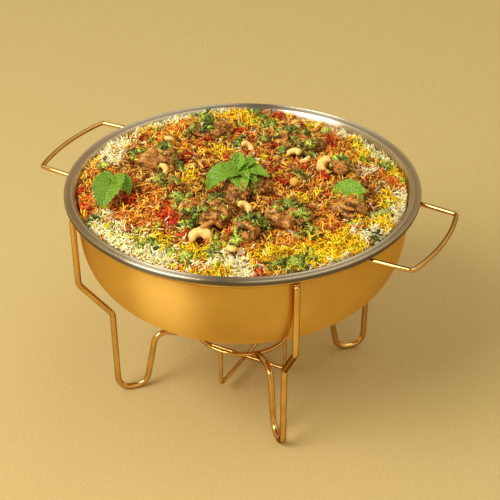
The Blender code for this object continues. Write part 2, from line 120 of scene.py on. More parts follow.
# Where each kind of rice and herb lies: x, y and radius in mm
PATCHES = {
    "white": (
        (-172, 12, 10), (-166, -8, 9), (-156, -30, 8), (-95, -137, 9), (-82, -150, 10),
        (-66, -163, 11), (-45, -168, 11), (-20, -172, 12), (2, -174, 9), (45, -158, 9), (62, -150, 11),
        (84, -150, 11), (170, -40, 10), (178, -22, 9), (160, -86, 9), (168, 60, 11), (180, 14, 8),
        (172, 36, 8), (85, 163, 12), (55, 170, 12), (112, 140, 10), (116, 86, 8), (-120, 140, 12),
        (-140, 120, 11), (-155, 106, 11), (-165, 85, 9), (10, 180, 8), (100, 152, 10), (150, -105, 8),
        (160, -94, 8),
    ),
    "yellow": (
        (85, -15, 6), (162, -50, 12), (158, -66, 9), (142, -92, 14), (128, -108, 9), (92, -127, 8),
        (62, -168, 9), (40, -150, 8), (-45, -40, 7), (-15, -155, 8), (-70, 135, 11), (-90, 163, 9),
        (-5, 184, 8), (8, 170, 7), (72, 146, 10), (90, 128, 8), (142, 112, 8), (150, 96, 7),
        (162, 42, 9), (-50, 35, 8), (-58, 120, 8), (110, -118, 8), (20, -150, 6), (172, -8, 7),
        (-80, -150, 6), (-100, 128, 6), (95, 108, 8), (150, -76, 14), (118, -100, 9),
    ),
    "orange": (
        (50, -10, 8), (130, -45, 10), (107, -90, 11), (104, -138, 8), (42, -162, 8), (120, -70, 10),
        (-60, -130, 13), (-130, 55, 13), (-125, 75, 10), (-85, -112, 12), (-27, 178, 8), (-45, 82, 8),
        (-55, 20, 8), (25, 175, 7), (50, 142, 8), (137, 88, 10), (42, 45, 9), (85, 25, 9), (60, 70, 9),
        (-120, -118, 9), (-150, -70, 8), (-165, -52, 7), (80, -80, 8), (10, -60, 7), (110, 30, 8),
        (-70, -80, 10), (35, 118, 7), (74, 112, 10), (88, 98, 9), (70, -120, 8), (150, 70, 7),
        (110, -40, 9), (-95, 110, 9),
    ),
    "red": (
        (-88, -98, 8), (-35, -103, 9), (-20, -120, 6), (-42, 172, 8), (-48, 88, 7), (52, 120, 7),
        (140, 84, 9), (46, 52, 6), (88, 28, 6), (-150, -98, 6), (-168, -74, 6), (-135, -122, 7),
        (-112, -138, 7), (50, -4, 6), (0, 72, 6), (120, -82, 6), (-60, 104, 6), (30, 22, 6),
        (98, -150, 5), (64, -30, 6), (5, -125, 5), (-76, 0, 5),
    ),
    "masala": (
        (0, 0, 60), (-55, -60, 26), (85, -50, 22), (102, -32, 16), (24, -170, 9), (70, -108, 16),
        (32, -88, 14), (15, 115, 22), (100, 76, 14), (112, 126, 10), (-82, 90, 20), (-110, -20, 26),
        (-140, 0, 18), (120, 40, 20), (60, 130, 14), (-20, 120, 18), (-100, -70, 18), (-160, -85, 22),
        (-150, -108, 16), (-168, -60, 16), (-160, -85, 14),
    ),
}
GREEN_PATCHES = (  # x, y, radius in mm, and how many bits
    (-65, -60, 9, 60), (-30, -85, 10, 60), (-65, -25, 8, 36), (-122, -30, 7, 30), (-155, -50, 6, 22),
    (-5, -118, 7, 34), (5, -124, 6, 40), (6, -112, 7, 40), (-15, -160, 7, 34), (-30, -166, 6, 28),
    (-105, -143, 6, 26), (115, -75, 9, 58), (127, -115, 14, 150), (108, -130, 10, 60),
    (70, -90, 8, 46), (24, -164, 8, 44), (45, -145, 6, 24), (-122, 122, 11, 90), (-160, 88, 6, 26),
    (-35, 125, 17, 170), (-55, 145, 9, 60), (-60, 110, 8, 40), (-90, 75, 8, 40), (127, 110, 7, 34),
    (152, 95, 6, 22), (135, 65, 8, 44), (166, 12, 7, 30), (-10, 75, 9, 50), (18, 62, 8, 40),
    (-40, 60, 9, 52), (60, -128, 6, 22), (20, -28, 8, 40), (-85, -45, 6, 22), (100, 110, 7, 28),
    (-75, 165, 8, 40), (30, 150, 7, 30), (-140, 30, 6, 20), (60, 25, 6, 24), (175, -30, 5, 16),
    (0, 20, 9, 40), (-100, 45, 7, 30), (62, -100, 9, 60), (30, -40, 8, 40), (14, -84, 8, 40),
    (86, -52, 9, 40), (104, -62, 6, 26), (-94, -14, 8, 34), (-80, 62, 9, 36), (10, 98, 12, 60),
    (92, 62, 8, 36), (36, 74, 10, 60), (46, 86, 8, 40),
)
LIME_PATCHES = (  # the paler, chopped green: x, y, radius in mm, and how many bits
    (45, -145, 7, 26), (-78, -152, 6, 24), (-15, -155, 7, 24), (72, 148, 8, 26), (105, 138, 7, 20),
    (-28, -140, 7, 22), (60, -160, 6, 18), (-110, 135, 7, 22), (150, 60, 6, 16), (-60, -158, 7, 26),
    (120, 125, 7, 26), (86, 146, 7, 24), (150, -30, 8, 30), (-95, -140, 6, 22), (-40, -160, 7, 26),
    (20, -162, 6, 20), (40, -130, 7, 26), (-44, -150, 7, 26), (168, 34, 6, 18), (-135, 118, 6, 20),
    (60, 158, 6, 22), (172, -62, 5, 14), (-20, 172, 6, 16), (-150, 62, 6, 16),
)

# Lengths and widths in mm, angles in degrees
Nut = namedtuple("Nut", "node size turn tilt lean", defaults=(0,))
NUTS = (
    Nut("cashew_front", 27, 120, 4, 34),
    Nut("cashew_front_small", 18, 200, 30),
    Nut("cashew_inner", 19, 100, 30),
    Nut("cashew_behind_mint", 18, 100, 35),
    Nut("cashew_back_1", 19, 100, -15),
    Nut("cashew_back_2", 15, -60, 30),
    Nut("cashew_back_3", 24, 205, -38),
    Nut("cashew_left", 18, 30, 60),
    Nut("cashew_front_left", 15, 80, 50),
    Nut("cashew_far_left", 17, 200, 30),
)
NUT_RISE = 3.2 * MM
Leaf = namedtuple("Leaf", "length width turn pitch droop cup roll tone")
Sprig = namedtuple("Sprig", "node x y rise leaves")
SPRIGS = (
    Sprig("mint_pair", -106, -96, 3, (
        Leaf(43, 37, 281, -3, 40, 8, 0, 0.5),
        Leaf(27, 23, 345, 6, 60, 3, 0, 0.6),
    )),
    Sprig("mint_sprig", 13, -34, 0, (
        Leaf(46, 27, 233, 32, 116, 6, -16, 0.55),
        Leaf(31, 25, 308, 12, 50, 5, 10, 0.74),
        Leaf(28, 21, 345, 24, 52, 4, 0, 0.58),
        Leaf(36, 25, 18, 24, 55, 4, 0, 0.8),
        Leaf(28, 21, 66, 40, 50, 4, 0, 0.6),
        Leaf(25, 18, 118, 58, 40, 3, 0, 0.66),
        Leaf(16, 12, 40, 66, 30, 3, 0, 0.7),
    )),
    Sprig("mint_leaf_right", 135, 18, 4, (
        Leaf(34, 29, 181, 14, 30, 4, -22, 0.72),
        Leaf(15, 8, 300, 0, 20, 1, 0, 0.7),
    )),
    Sprig("mint_leaf_small", 129, 112, 2, (Leaf(13, 10, 200, 20, 30, 1, 0, 0.5),)),
)


def tint(red, green, blue):
    """A linear colour from the 0 to 255 numbers of a colour picker."""
    shares = (value / 255 for value in (red, green, blue))
    return tuple(s / 12.92 if s <= 0.04045 else ((s + 0.055) / 1.055) ** 2.4 for s in shares)


def colour(name, description, default):
    return FloatVectorProperty(
        name=name, description=description, default=default, size=3, min=0, max=1, subtype="COLOR"
    )


def length(name, description, default):
    return FloatProperty(
        name=name, description=description, default=default, min=0, unit="LENGTH", precision=5
    )


def count(name, description, default):
    return IntProperty(name=name, description=description, default=default, min=1)


class BowlSettings(PropertyGroup):
    """Sizes and colours of the bowl."""

    facets: count("Facets", "Steps round the bowl", 144)
    gold: colour("Gold", "Colour of the plated outside", (0.86, 0.555, 0.13))
    gold_shade: colour("Gold shade", "Colour of the plating where it is dull", (0.62, 0.35, 0.08))
    steel: colour("Steel", "Colour of the inside, flange and rolled edge", (0.65, 0.59, 0.47))
    steel_shade: colour("Steel shade", "Colour of the steel where it is dull", (0.53, 0.46, 0.35))
    satin: FloatProperty(name="Satin", description="Roughness of the plating", default=0.35, min=0, max=1)


class StandSettings(PropertyGroup):
    """Sizes and colours of the wire stand."""

    leg_wire: length("Leg wire", "Diameter of the leg wires", 7 * MM)
    handle_wire: length("Handle wire", "Diameter of the handle wires", 5 * MM)
    cradle_wire: length("Cradle wire", "Diameter of the cradle wires", 4.5 * MM)
    knee_radius: length("Knee radius", "Distance of the knee from the axis", 193.8 * MM)
    knee_height: length("Knee height", "Height where a leg turns in", 162 * MM)
    ankle_radius: length("Ankle radius", "Distance of the ankle from the axis", 157.6 * MM)
    ankle_height: length("Ankle height", "Height where a leg turns down", 113.8 * MM)
    foot_outer: length("Foot outside", "Distance of the foot's outer side from the axis", 156.4 * MM)
    foot_inner: length("Foot inside", "Distance of the foot's inner side from the axis", 122.3 * MM)
    shoulder_radius: length("Shoulder radius", "Where the inner wire turns over", 107.4 * MM)
    shoulder_height: length("Shoulder height", "Height of that turn", 79 * MM)
    handle_reach: length("Handle reach", "Distance of a handle's arc from the axis", 240 * MM)
    handle_half_width: length("Handle half width", "Half the width of a handle at its arc", 62.8 * MM)
    handle_foot_half_width: length("Handle foot", "Half the width of a handle at the ring", 65.5 * MM)
    gold: colour("Gold", "Colour of the plated wire", (0.88, 0.58, 0.22))
    gold_shade: colour("Gold shade", "Colour of the wire where it is dull", (0.46, 0.25, 0.07))


class RiceSettings(PropertyGroup):
    """Sizes, numbers and colours of the rice and masala."""

    grain_length: length("Grain length", "Length of a cooked grain", 10.5 * MM)
    grain_width: length("Grain width", "Width of a cooked grain", 1.75 * MM)
    grains: count("Grains", "How many grains there are in all", 23000)
    crumbs: count("Crumbs", "How many crumbs of masala there are", 11000)
    crust_crumbs: count("Crust crumbs", "How many fine crumbs there are on the meat", 15000)
    white: colour("White rice", "Colour of the plain grains", tint(255, 250, 214))
    yellow: colour("Yellow rice", "Colour of the saffron grains", tint(255, 224, 22))
    orange: colour("Orange rice", "Colour of the grains in red oil", tint(250, 158, 42))
    red: colour("Red rice", "Colour of the grains in chilli", tint(226, 70, 10))
    masala: colour("Masala rice", "Colour of the grains in masala", tint(204, 136, 46))
    crumb: colour("Crumb", "Colour of the masala crumbs", tint(190, 122, 42))


class MeatSettings(PropertyGroup):
    """Sizes and colours of the meat and the bone."""

    detail: length("Detail", "Size of the faces on the meat", 1.25 * MM)
    brown: colour("Brown", "Middle colour of the meat", tint(170, 114, 50))
    # the chunks' tone paints the dark colour into creases and low down and the light colour onto ridges:
    # painted shade and painted light
    dark: colour("Dark", "Colour of the meat's creases", tint(62, 33, 6))
    light: colour("Light", "Colour of the meat's ridges", tint(222, 174, 98))
    bone: colour("Bone", "Colour of the bone", tint(196, 142, 74))


class ToppingSettings(PropertyGroup):
    """Colours of the nuts, spices and vegetables."""

    cashew: colour("Cashew", "Colour of the fried cashews", tint(243, 200, 120))
    toast: colour("Toast", "Colour of their browned ridges", tint(204, 130, 54))
    chickpea: colour("Chickpea", "Colour of the chickpea", tint(222, 176, 74))
    tomato: colour("Tomato", "Colour of the tomato pieces", tint(206, 38, 16))
    cinnamon: colour("Cinnamon", "Colour of the cinnamon stick", tint(116, 50, 26))
    chilli: colour("Chilli", "Colour of the chilli piece", tint(148, 158, 72))


class HerbSettings(PropertyGroup):
    """Sizes, numbers and colours of the mint, coriander and onion."""

    mint: colour("Mint", "Colour of the mint leaves", tint(96, 134, 26))
    mint_vein: colour("Mint vein", "Colour of the veins", tint(150, 184, 84))
    coriander: colour("Coriander", "Colour of the chopped leaves", tint(140, 158, 62))
    lime: colour("Pale green", "Colour of the palest chopped leaves", tint(182, 190, 62))
    onion: colour("Fried onion", "Colour of the fried onion", tint(150, 66, 22))
    loose_bits: count("Loose bits", "How many bits lie scattered", 3600)
    leaf_thickness: length("Leaf thickness", "Thickness of a mint leaf", 0.5 * MM)


class StageSettings(PropertyGroup):
    """Floor, light and camera."""

    floor: colour("Floor", "Colour of the floor", tint(194, 174, 121))
    horizon: colour("Horizon", "Colour of the room low down", (0.72, 0.53, 0.28))
    shoulder: colour("Shoulder", "Colour of the room half way up", (0.72, 0.57, 0.36))
    ceiling: colour("Ceiling", "Colour of the room overhead", (1.48, 1.37, 1.12))
    air_strength: FloatProperty(name="Air", description="Strength of the room's light", default=1.0, min=0)
    key_power: FloatProperty(name="Key", description="Power of the main light", default=64, unit="POWER")
    lens: FloatProperty(name="Lens", description="Focal length", default=91.486, unit="CAMERA")


# Meshes


def add_piece(name, points, faces, material, body="root", slot=None, replaces=(), **attributes):
    """A piece from point and face arrays, riding on its body; each attribute is a value for every point."""
    groups = faces if isinstance(faces, (list, tuple)) else [faces]
    groups = [np.asarray(group, np.int64) for group in groups if len(group)]
    sizes = np.concatenate([np.full(len(group), group.shape[1]) for group in groups])
    corners = np.concatenate([group.ravel() for group in groups])
    mesh = bpy.data.meshes.new(name)
    mesh.vertices.add(len(points))
    mesh.vertices.foreach_set("co", np.asarray(points, np.float32).ravel())
    mesh.loops.add(len(corners))
    mesh.loops.foreach_set("vertex_index", corners.astype(np.int32))
    mesh.polygons.add(len(sizes))
    mesh.polygons.foreach_set("loop_start", np.concatenate([[0], np.cumsum(sizes)[:-1]]).astype(np.int32))
    mesh.update(calc_edges=True)
    for key, values in attributes.items():
        values = np.asarray(values, np.float32)
        if key == "OFBake":
            mesh.uv_layers.new(name=key).data.foreach_set("uv", values.ravel())
        elif values.ndim == 2:
            layer = mesh.attributes.new(key, "FLOAT_COLOR", "POINT")
            layer.data.foreach_set("color", np.column_stack([values, np.ones(len(values))]).ravel())
        else:
            mesh.attributes.new(key, "FLOAT", "POINT").data.foreach_set("value", values)
    mesh.shade_smooth()
    if mesh.validate():
        raise RuntimeError(f"{name} has faulty faces")
    mesh.materials.append(material)
    piece = bpy.data.objects.new(name, mesh)
    bpy.context.scene.collection.objects.link(piece)
    if body:
        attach(piece, body)
    if slot:
        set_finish(piece, slot)
    if replaces:
        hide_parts(*replaces)
    return piece


def grid_faces(rows, columns, closed_rows=False, closed_columns=False):
    """Quads over a block of points; a closed direction joins its last line to its first."""
    row = np.arange(rows if closed_rows else rows - 1)[:, None]
    column = np.arange(columns if closed_columns else columns - 1)[None, :]
    next_row = (row + 1) % rows
    next_column = (column + 1) % columns
    corners = (row * columns + column, row * columns + next_column)
    corners += (next_row * columns + next_column, next_row * columns + column)
    return np.stack([np.broadcast_to(c, (len(row), column.shape[1])).ravel() for c in corners], 1)


def fan_faces(ring, tip, flip=False):
    """Triangles from a closed ring of point numbers to a tip."""
    ring = np.asarray(ring)
    fans = np.stack([ring, np.roll(ring, -1), np.full(len(ring), tip)], 1)
    return fans[:, ::-1] if flip else fans


def lathe(outline, steps):
    """Points and faces of a closed solid turned about Z; the outline starts and ends on the axis."""
    outline = np.asarray(outline, float)
    angles = np.arange(steps) * TAU / steps
    rings = outline[1:-1]
    radius, height = rings[:, :1], rings[:, 1:] + np.zeros(steps)
    points = np.stack([radius * np.cos(angles), radius * np.sin(angles), height], 2).reshape(-1, 3)
    first, last = len(points), len(points) + 1
    points = np.vstack([points, [0, 0, outline[0, 1]], [0, 0, outline[-1, 1]]])
    faces = [
        grid_faces(len(rings), steps, closed_columns=True),
        fan_faces(np.arange(steps), first, flip=True),
        fan_faces(np.arange(steps) + (len(rings) - 1) * steps, last),
    ]
    return points, faces


DOME_ANGLES = np.radians([72, 50, 25])  # the rings that close a tube's end, from the tip
DOME_TIP = 0.06 / 0.31  # how far the tip stands beyond its last ring, as a share of that ring's radius
LEVEL = 0.9  # a tube that starts steeper than this has its sides counted from another direction


def tube(path, widths, sides, closed=False, flat=1.0, reference=None, groove=None):
    """Points and faces of a round body along the path, with domed ends unless it is closed."""
    path = np.asarray(path, float)
    widths = np.broadcast_to(np.asarray(widths, float), len(path)) / 2
    if closed:
        forward = np.roll(path, -1, 0) - np.roll(path, 1, 0)
    else:
        forward = np.gradient(path, axis=0)
    forward /= np.linalg.norm(forward, axis=1, keepdims=True)
    side = np.zeros_like(path)
    guess = np.asarray(reference, float) if reference is not None else np.array([0.0, 0.0, 1.0])
    if reference is None and abs(forward[0] @ guess) > LEVEL:
        guess = np.array([-forward[0][1], forward[0][0], 0.0])
        if np.linalg.norm(guess) < 0.1:
            guess = np.array([1.0, 0.0, 0.0])
    for index, direction in enumerate(forward):
        guess = guess - direction * (guess @ direction)
        guess /= np.linalg.norm(guess)
        side[index] = guess
    other = np.cross(forward, side)
    angles = np.arange(sides) * TAU / sides
    round_shape = np.ones(sides) if groove is None else groove(angles)
    if not closed:  # extra rings that close each end in a dome
        bulge, shrink = np.sin(DOME_ANGLES), np.cos(DOME_ANGLES)
        start = [path[0] - forward[0] * widths[0] * b for b in bulge]
        end = [path[-1] + forward[-1] * widths[-1] * b for b in bulge[::-1]]
        path = np.vstack([start, path, end])
        rings = ((len(bulge), len(bulge)), (0, 0))
        side, other, forward = (np.pad(part, rings, mode="edge") for part in (side, other, forward))
        widths = np.concatenate([widths[0] * shrink, widths, widths[-1] * shrink[::-1]])
    around = side[:, None] * np.cos(angles)[:, None] * flat + other[:, None] * np.sin(angles)[:, None]
    points = (path[:, None] + around * round_shape[:, None] * widths[:, None, None]).reshape(-1, 3)
    faces = [grid_faces(len(path), sides, closed_rows=closed, closed_columns=True)]
    if not closed:
        reach = DOME_TIP * widths
        tips = [path[0] - forward[0] * reach[0], path[-1] + forward[-1] * reach[-1]]
        count_before = len(points)
        points = np.vstack([points, tips])
        faces.append(fan_faces(np.arange(sides), count_before, flip=True))
        faces.append(fan_faces(np.arange(sides) + (len(path) - 1) * sides, count_before + 1))
    return points, faces


def joined(parts):
    """Points and faces of several bodies as one."""
    points, threes, fours, before = [], [], [], 0
    for part_points, part_faces in parts:
        for group in part_faces:
            (threes if group.shape[1] == 3 else fours).append(group + before)
        points.append(part_points)
        before += len(part_points)
    faces = [np.vstack(groups) for groups in (threes, fours) if groups]
    return np.vstack(points), faces


def ripple(points, wavelength, seed, waves=28):
    """A smooth random value of about unit size at each point, with bumps about a wavelength apart."""
    rng = np.random.default_rng(seed)
    points = np.asarray(points, float)
    directions = rng.normal(size=(points.shape[1], waves))
    directions /= np.linalg.norm(directions, axis=0)
    pace = TAU / (wavelength * rng.uniform(0.7, 1.4, waves))
    phase = rng.uniform(0, TAU, waves)
    return np.sin(points @ (directions * pace) + phase).sum(1) * math.sqrt(2 / waves)


def node_tree(name):
    """The surface of a CAD node, for measuring."""
    return mesh_tree(frame["nodes"][name].data)


def mesh_tree(mesh):
    places = [vertex.co.copy() for vertex in mesh.vertices]
    return BVHTree.FromPolygons(places, [tuple(face.vertices) for face in mesh.polygons])


def corners_of(name):
    """The lowest and highest corners of a CAD node's box."""
    low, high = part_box(name)
    return np.array(low), np.array(high)


def settle(points, name):
    """Move the points so that their box has the same middle as the CAD node's."""
    low, high = corners_of(name)
    return points + (low + high - points.min(0) - points.max(0)) / 2


# The rice's surface

GRID_STEP = 2 * MM
GRID_HALF = 96  # steps from the middle to the grid's edge
FILL_ROUNDS = 260


@functools.cache
def rice_grid():
    """Heights of the heap on a square grid, smoothed over the seats of the pieces that lie in it."""
    places = np.arange(-GRID_HALF, GRID_HALF + 1) * GRID_STEP
    heights = np.full((len(places), len(places)), np.nan)
    covered = np.zeros_like(heights)
    rice = node_tree("rice_heap")
    chunks = [node_tree(name) for name in CHUNKS]
    top = Vector((0, 0, 0.5))
    down = Vector((0, 0, -1))
    for i, x in enumerate(places):
        for j, y in enumerate(places):
            if math.hypot(x, y) > RICE_RADIUS - 1 * MM:
                continue
            top.x, top.y = x, y
            hit = rice.ray_cast(top, down)[0]
            heights[i, j] = hit.z
            meat = [chunk.ray_cast(top, down)[0] for chunk in chunks]
            covered[i, j] = max([found.z - hit.z for found in meat if found], default=0)
    known = ~np.isnan(heights) & (covered < 0.2 * MM)
    filled = np.where(known, heights, np.nanmean(heights))
    for _ in range(FILL_ROUNDS):
        padded = np.pad(filled, 1, mode="edge")
        around = (padded[2:, 1:-1] + padded[:-2, 1:-1] + padded[1:-1, 2:] + padded[1:-1, :-2]) / 4
        filled = np.where(known, heights, around)
    return filled


def rice_height(x, y):
    """Height of the heap's smooth outline at the places."""
    grid = rice_grid()
    u = np.clip(np.asarray(x) / GRID_STEP + GRID_HALF, 0, 2 * GRID_HALF - 0.001)
    v = np.clip(np.asarray(y) / GRID_STEP + GRID_HALF, 0, 2 * GRID_HALF - 0.001)
    i, j = u.astype(int), v.astype(int)
    a, b = u - i, v - j
    low = grid[i, j] * (1 - a) + grid[i + 1, j] * a
    high = grid[i, j + 1] * (1 - a) + grid[i + 1, j + 1] * a
    return low * (1 - b) + high * b


def rice_surface(x, y):
    """Height of the heap with its lumps, lower along the wall."""
    places = np.column_stack([x, y])
    out = np.hypot(x, y) / RICE_RADIUS
    lumps = 1.9 * MM * ripple(places, 27 * MM, 11) + 2.0 * MM * ripple(places, 13 * MM, 12)
    lumps += 0.8 * MM * ripple(places, 6 * MM, 13)
    edge = np.clip((out - 0.93) / 0.07, 0, 1)
    return rice_height(x, y) + lumps * (1 - 0.6 * edge) - 2.2 * MM * edge**2


def rice_normals(x, y):
    """Unit normals of the lumpy surface."""
    step = 1.5 * MM
    slope_x = (rice_surface(x + step, y) - rice_surface(x - step, y)) / (2 * step)
    slope_y = (rice_surface(x, y + step) - rice_surface(x, y - step)) / (2 * step)
    normals = np.column_stack([-slope_x, -slope_y, np.ones(len(slope_x))])
    return normals / np.linalg.norm(normals, axis=1, keepdims=True)


KINDS = tuple(PATCHES)
PATCH_GAIN = {"white": 3.0, "yellow": 3.2, "orange": 2.0, "red": 2.4, "masala": 0.5}
STRAYS = (0.34, 0.30, 0.22, 0.09, 0.05)  # the kinds among grains that lie outside their own clumps
STRAY_SHARE = 0.035


def kind_weights(x, y):
    """How much of each kind of rice lies at the places, one column for each kind."""
    places = np.column_stack([x, y])
    out = np.hypot(x, y) / RICE_RADIUS
    rim = np.clip((out - 0.80) / 0.15, 0, 1)
    base = {
        "white": 0.11 + 0.14 * rim,
        "yellow": 0.17 + 0.19 * rim,
        "orange": 0.19 + 0.045 * rim,
        "red": 0.215 - 0.085 * rim,
        "masala": 0.33 - 0.19 * rim,
    }
    weights = []
    for index, kind in enumerate(KINDS):
        total = base[kind].copy()
        for px, py, radius in PATCHES[kind]:
            distance = np.hypot(x - px * MM, y - py * MM) / (radius * MM)
            total += PATCH_GAIN[kind] * np.exp(-0.5 * (distance * 1.25) ** 2)
        ragged = 0.45 * ripple(places, 20 * MM, 40 + index) + 0.5 * ripple(places, 10 * MM, 60 + index)
        ragged += 0.2 * ripple(places, 5 * MM, 80 + index)
        weights.append(total * np.exp(ragged))
    weights = np.column_stack(weights) ** 4
    weights /= weights.sum(1, keepdims=True)
    return (1 - STRAY_SHARE) * weights + STRAY_SHARE * np.array(STRAYS)


def scattered(number, radius, rng, spacing):
    """Places spread evenly over a disc."""
    out = radius * np.sqrt((np.arange(number) + 0.5) / number)
    turn = np.arange(number) * math.pi * (3 - math.sqrt(5))
    x = out * np.cos(turn) + rng.normal(0, spacing, number)
    y = out * np.sin(turn) + rng.normal(0, spacing, number)
    order = rng.permutation(number)
    return x[order], y[order]


def frames_on(normals, azimuths, pitches, rolls=None):
    """Rotations whose X axis lies along the surface at an azimuth, tipped up by a pitch."""
    helper = np.tile([0.0, 1.0, 0.0], (len(normals), 1))
    first = np.cross(helper, normals)
    first /= np.linalg.norm(first, axis=1, keepdims=True)
    second = np.cross(normals, first)
    flat = first * np.cos(azimuths)[:, None] + second * np.sin(azimuths)[:, None]
    forward = flat * np.cos(pitches)[:, None] + normals * np.sin(pitches)[:, None]
    side = np.cross(normals, flat)
    up = np.cross(forward, side)
    if rolls is not None:
        side, up = (
            side * np.cos(rolls)[:, None] + up * np.sin(rolls)[:, None],
            up * np.cos(rolls)[:, None] - side * np.sin(rolls)[:, None],
        )
    return np.stack([forward, side, up], 2)


Template = namedtuple("Template", "points faces uv")
BIT_BULGE = 0.06  # half a scrap's thickness, as a share of its width
LEAFLET_BULGE = 0.05


def grain_template():
    """A grain one unit long and wide: four sides, two rings and two tips."""
    sides = 4
    angles = np.arange(sides) * TAU / sides + 0.4
    points = [(-0.5, 0, 0)]
    for x, radius in ((-0.26, 0.5), (0.28, 0.46)):
        points += [(x, radius * math.cos(a), radius * math.sin(a)) for a in angles]
    points.append((0.5, 0, 0))
    faces, uv = [], []
    for side in range(sides):
        after = (side + 1) % sides
        left, right, middle = side / sides, (side + 1) / sides, (side + 0.5) / sides
        low, high = 1, 1 + sides
        faces += [(0, low + after, low + side), (low + side, low + after, high + after)]
        faces += [(low + side, high + after, high + side), (high + side, high + after, len(points) - 1)]
        uv += [(middle, 0), (right, 0.25), (left, 0.25), (left, 0.25), (right, 0.25), (right, 0.75)]
        uv += [(left, 0.25), (right, 0.75), (left, 0.75), (left, 0.75), (right, 0.75), (middle, 1)]
    return Template(np.array(points), np.array(faces), np.array(uv))


def crumb_template(rng):
    """An uneven eight-sided crumb."""
    points = np.array([(1, 0, 0), (-1, 0, 0), (0, 1, 0), (0, -1, 0), (0, 0, 1), (0, 0, -1)], float) / 2
    points *= rng.uniform(0.7, 1.2, (6, 1))
    points += rng.normal(0, 0.06, points.shape)
    faces, uv = [], []
    for i, a in enumerate((0, 1)):
        for j, b in enumerate((2, 3)):
            for k, c in enumerate((4, 5)):
                faces.append((a, b, c) if (i + j + k) % 2 == 0 else (a, c, b))
                cell = (i + 2 * j) / 4
                low = 0.02 + 0.5 * k
                uv += [(cell + 0.01, low), (cell + 0.24, low), (cell + 0.12, low + 0.46)]
    return Template(points, np.array(faces), np.array(uv))


def leaf_bit_template(rng, corners, depth):
    """A thin closed scrap of leaf one unit across, with a lobed edge and a crumpled middle."""
    angles = np.arange(corners) * TAU / corners + rng.uniform(0, 1) + rng.normal(0, 0.06, corners)
    toothing = (0, 0.35, 1, 0.35) if corners > 8 else (0, 1)  # three blunt lobes, or plain points
    notches = np.resize(toothing, corners)
    edge = 0.5 * (1 - depth * notches) * rng.uniform(0.8, 1.15, corners)
    crumple = rng.normal(0, 0.15, corners)
    rim = np.column_stack([edge * np.cos(angles), edge * np.sin(angles), crumple])
    points = np.vstack([rim, [[0, 0, BIT_BULGE]], [[0, 0, -BIT_BULGE]]])
    ring = np.arange(corners)
    faces = np.vstack([fan_faces(ring, corners), fan_faces(ring, corners + 1, flip=True)])
    side = np.repeat([0.25, 0.75], corners * 3)
    uv = np.column_stack([side + 0.44 * points[faces.ravel(), 0], 0.5 + 0.85 * points[faces.ravel(), 1]])
    return Template(points, faces, np.clip(uv, 0, 1))


def leaflet_template(rng):
    """A thin closed coriander leaflet one unit across: three toothed lobes and a narrow foot."""
    lobes = (-1.2, 0.0, 1.2)
    angles = [-math.pi] + [lobe + tooth for lobe in lobes for tooth in (-0.62, -0.34, -0.17, 0.0, 0.17, 0.34)]
    angles = np.array(angles + [1.82])
    reach = [0.12] + [share for _ in lobes for share in (0.2, 0.42, 0.38, 0.52, 0.38, 0.42)] + [0.2]
    reach = np.array(reach) * rng.uniform(0.85, 1.15, len(angles))
    lift = np.concatenate([[0], np.repeat(rng.normal(0, 0.1, 3), 6) + rng.normal(0, 0.05, 18), [0]])
    rim = np.column_stack([reach * np.cos(angles), reach * np.sin(angles), lift])
    points = np.vstack([rim, [[0, 0, LEAFLET_BULGE]], [[0, 0, -LEAFLET_BULGE]]])
    ring = np.arange(len(angles))
    faces = np.vstack([fan_faces(ring, len(angles)), fan_faces(ring, len(angles) + 1, flip=True)])
    side = np.repeat([0.25, 0.75], len(angles) * 3)
    uv = np.column_stack([side + 0.38 * points[faces.ravel(), 0], 0.5 + 0.8 * points[faces.ravel(), 1]])
    return Template(points, faces, np.clip(uv, 0, 1))


def strip_template(rng):
    """A curled, four-sided strip one unit long with uneven width."""
    stations = np.linspace(-0.5, 0.5, 9)
    curl = rng.uniform(-0.9, 0.9) * stations**2 * 2.4 + rng.normal(0, 0.08, 9)
    wide = 0.5 * (1 - (2 * np.abs(stations)) ** 4 * 0.6) * rng.uniform(0.75, 1.15, 9)
    points = []
    for x, bend, half in zip(stations, curl, wide):
        for y, z in ((-half, -0.4), (half, -0.3), (half * 0.9, 0.35), (-half * 0.9, 0.3)):
            points.append((x, y + bend, z))
    faces, uv = [], []
    for step in range(8):
        for side in range(4):
            after = (side + 1) % 4
            a, b = step * 4 + side, step * 4 + after
            faces += [(a, a + 4, b), (b, a + 4, b + 4)]
            left, right = side / 4, (side + 1) / 4
            low, high = 0.05 + step * 0.11, 0.05 + (step + 1) * 0.11
            uv += [(left, low), (left, high), (right, low), (right, low), (left, high), (right, high)]
    for base, flip, floor in ((0, 1, 0.0), (32, -1, 0.955)):
        for tri in ((0, 1, 2), (0, 2, 3)):
            faces.append(tuple(base + t for t in tri)[::flip])
            left = 0.0 if tri[1] == 1 else 0.5
            uv += [(left, floor), (left + 0.45, floor), (left + 0.2, floor + 0.04)]
    outward = np.array(uv).reshape(-1, 3, 2)[:, ::-1].reshape(-1, 2)
    return Template(np.array(points), np.array(faces)[:, ::-1], outward)


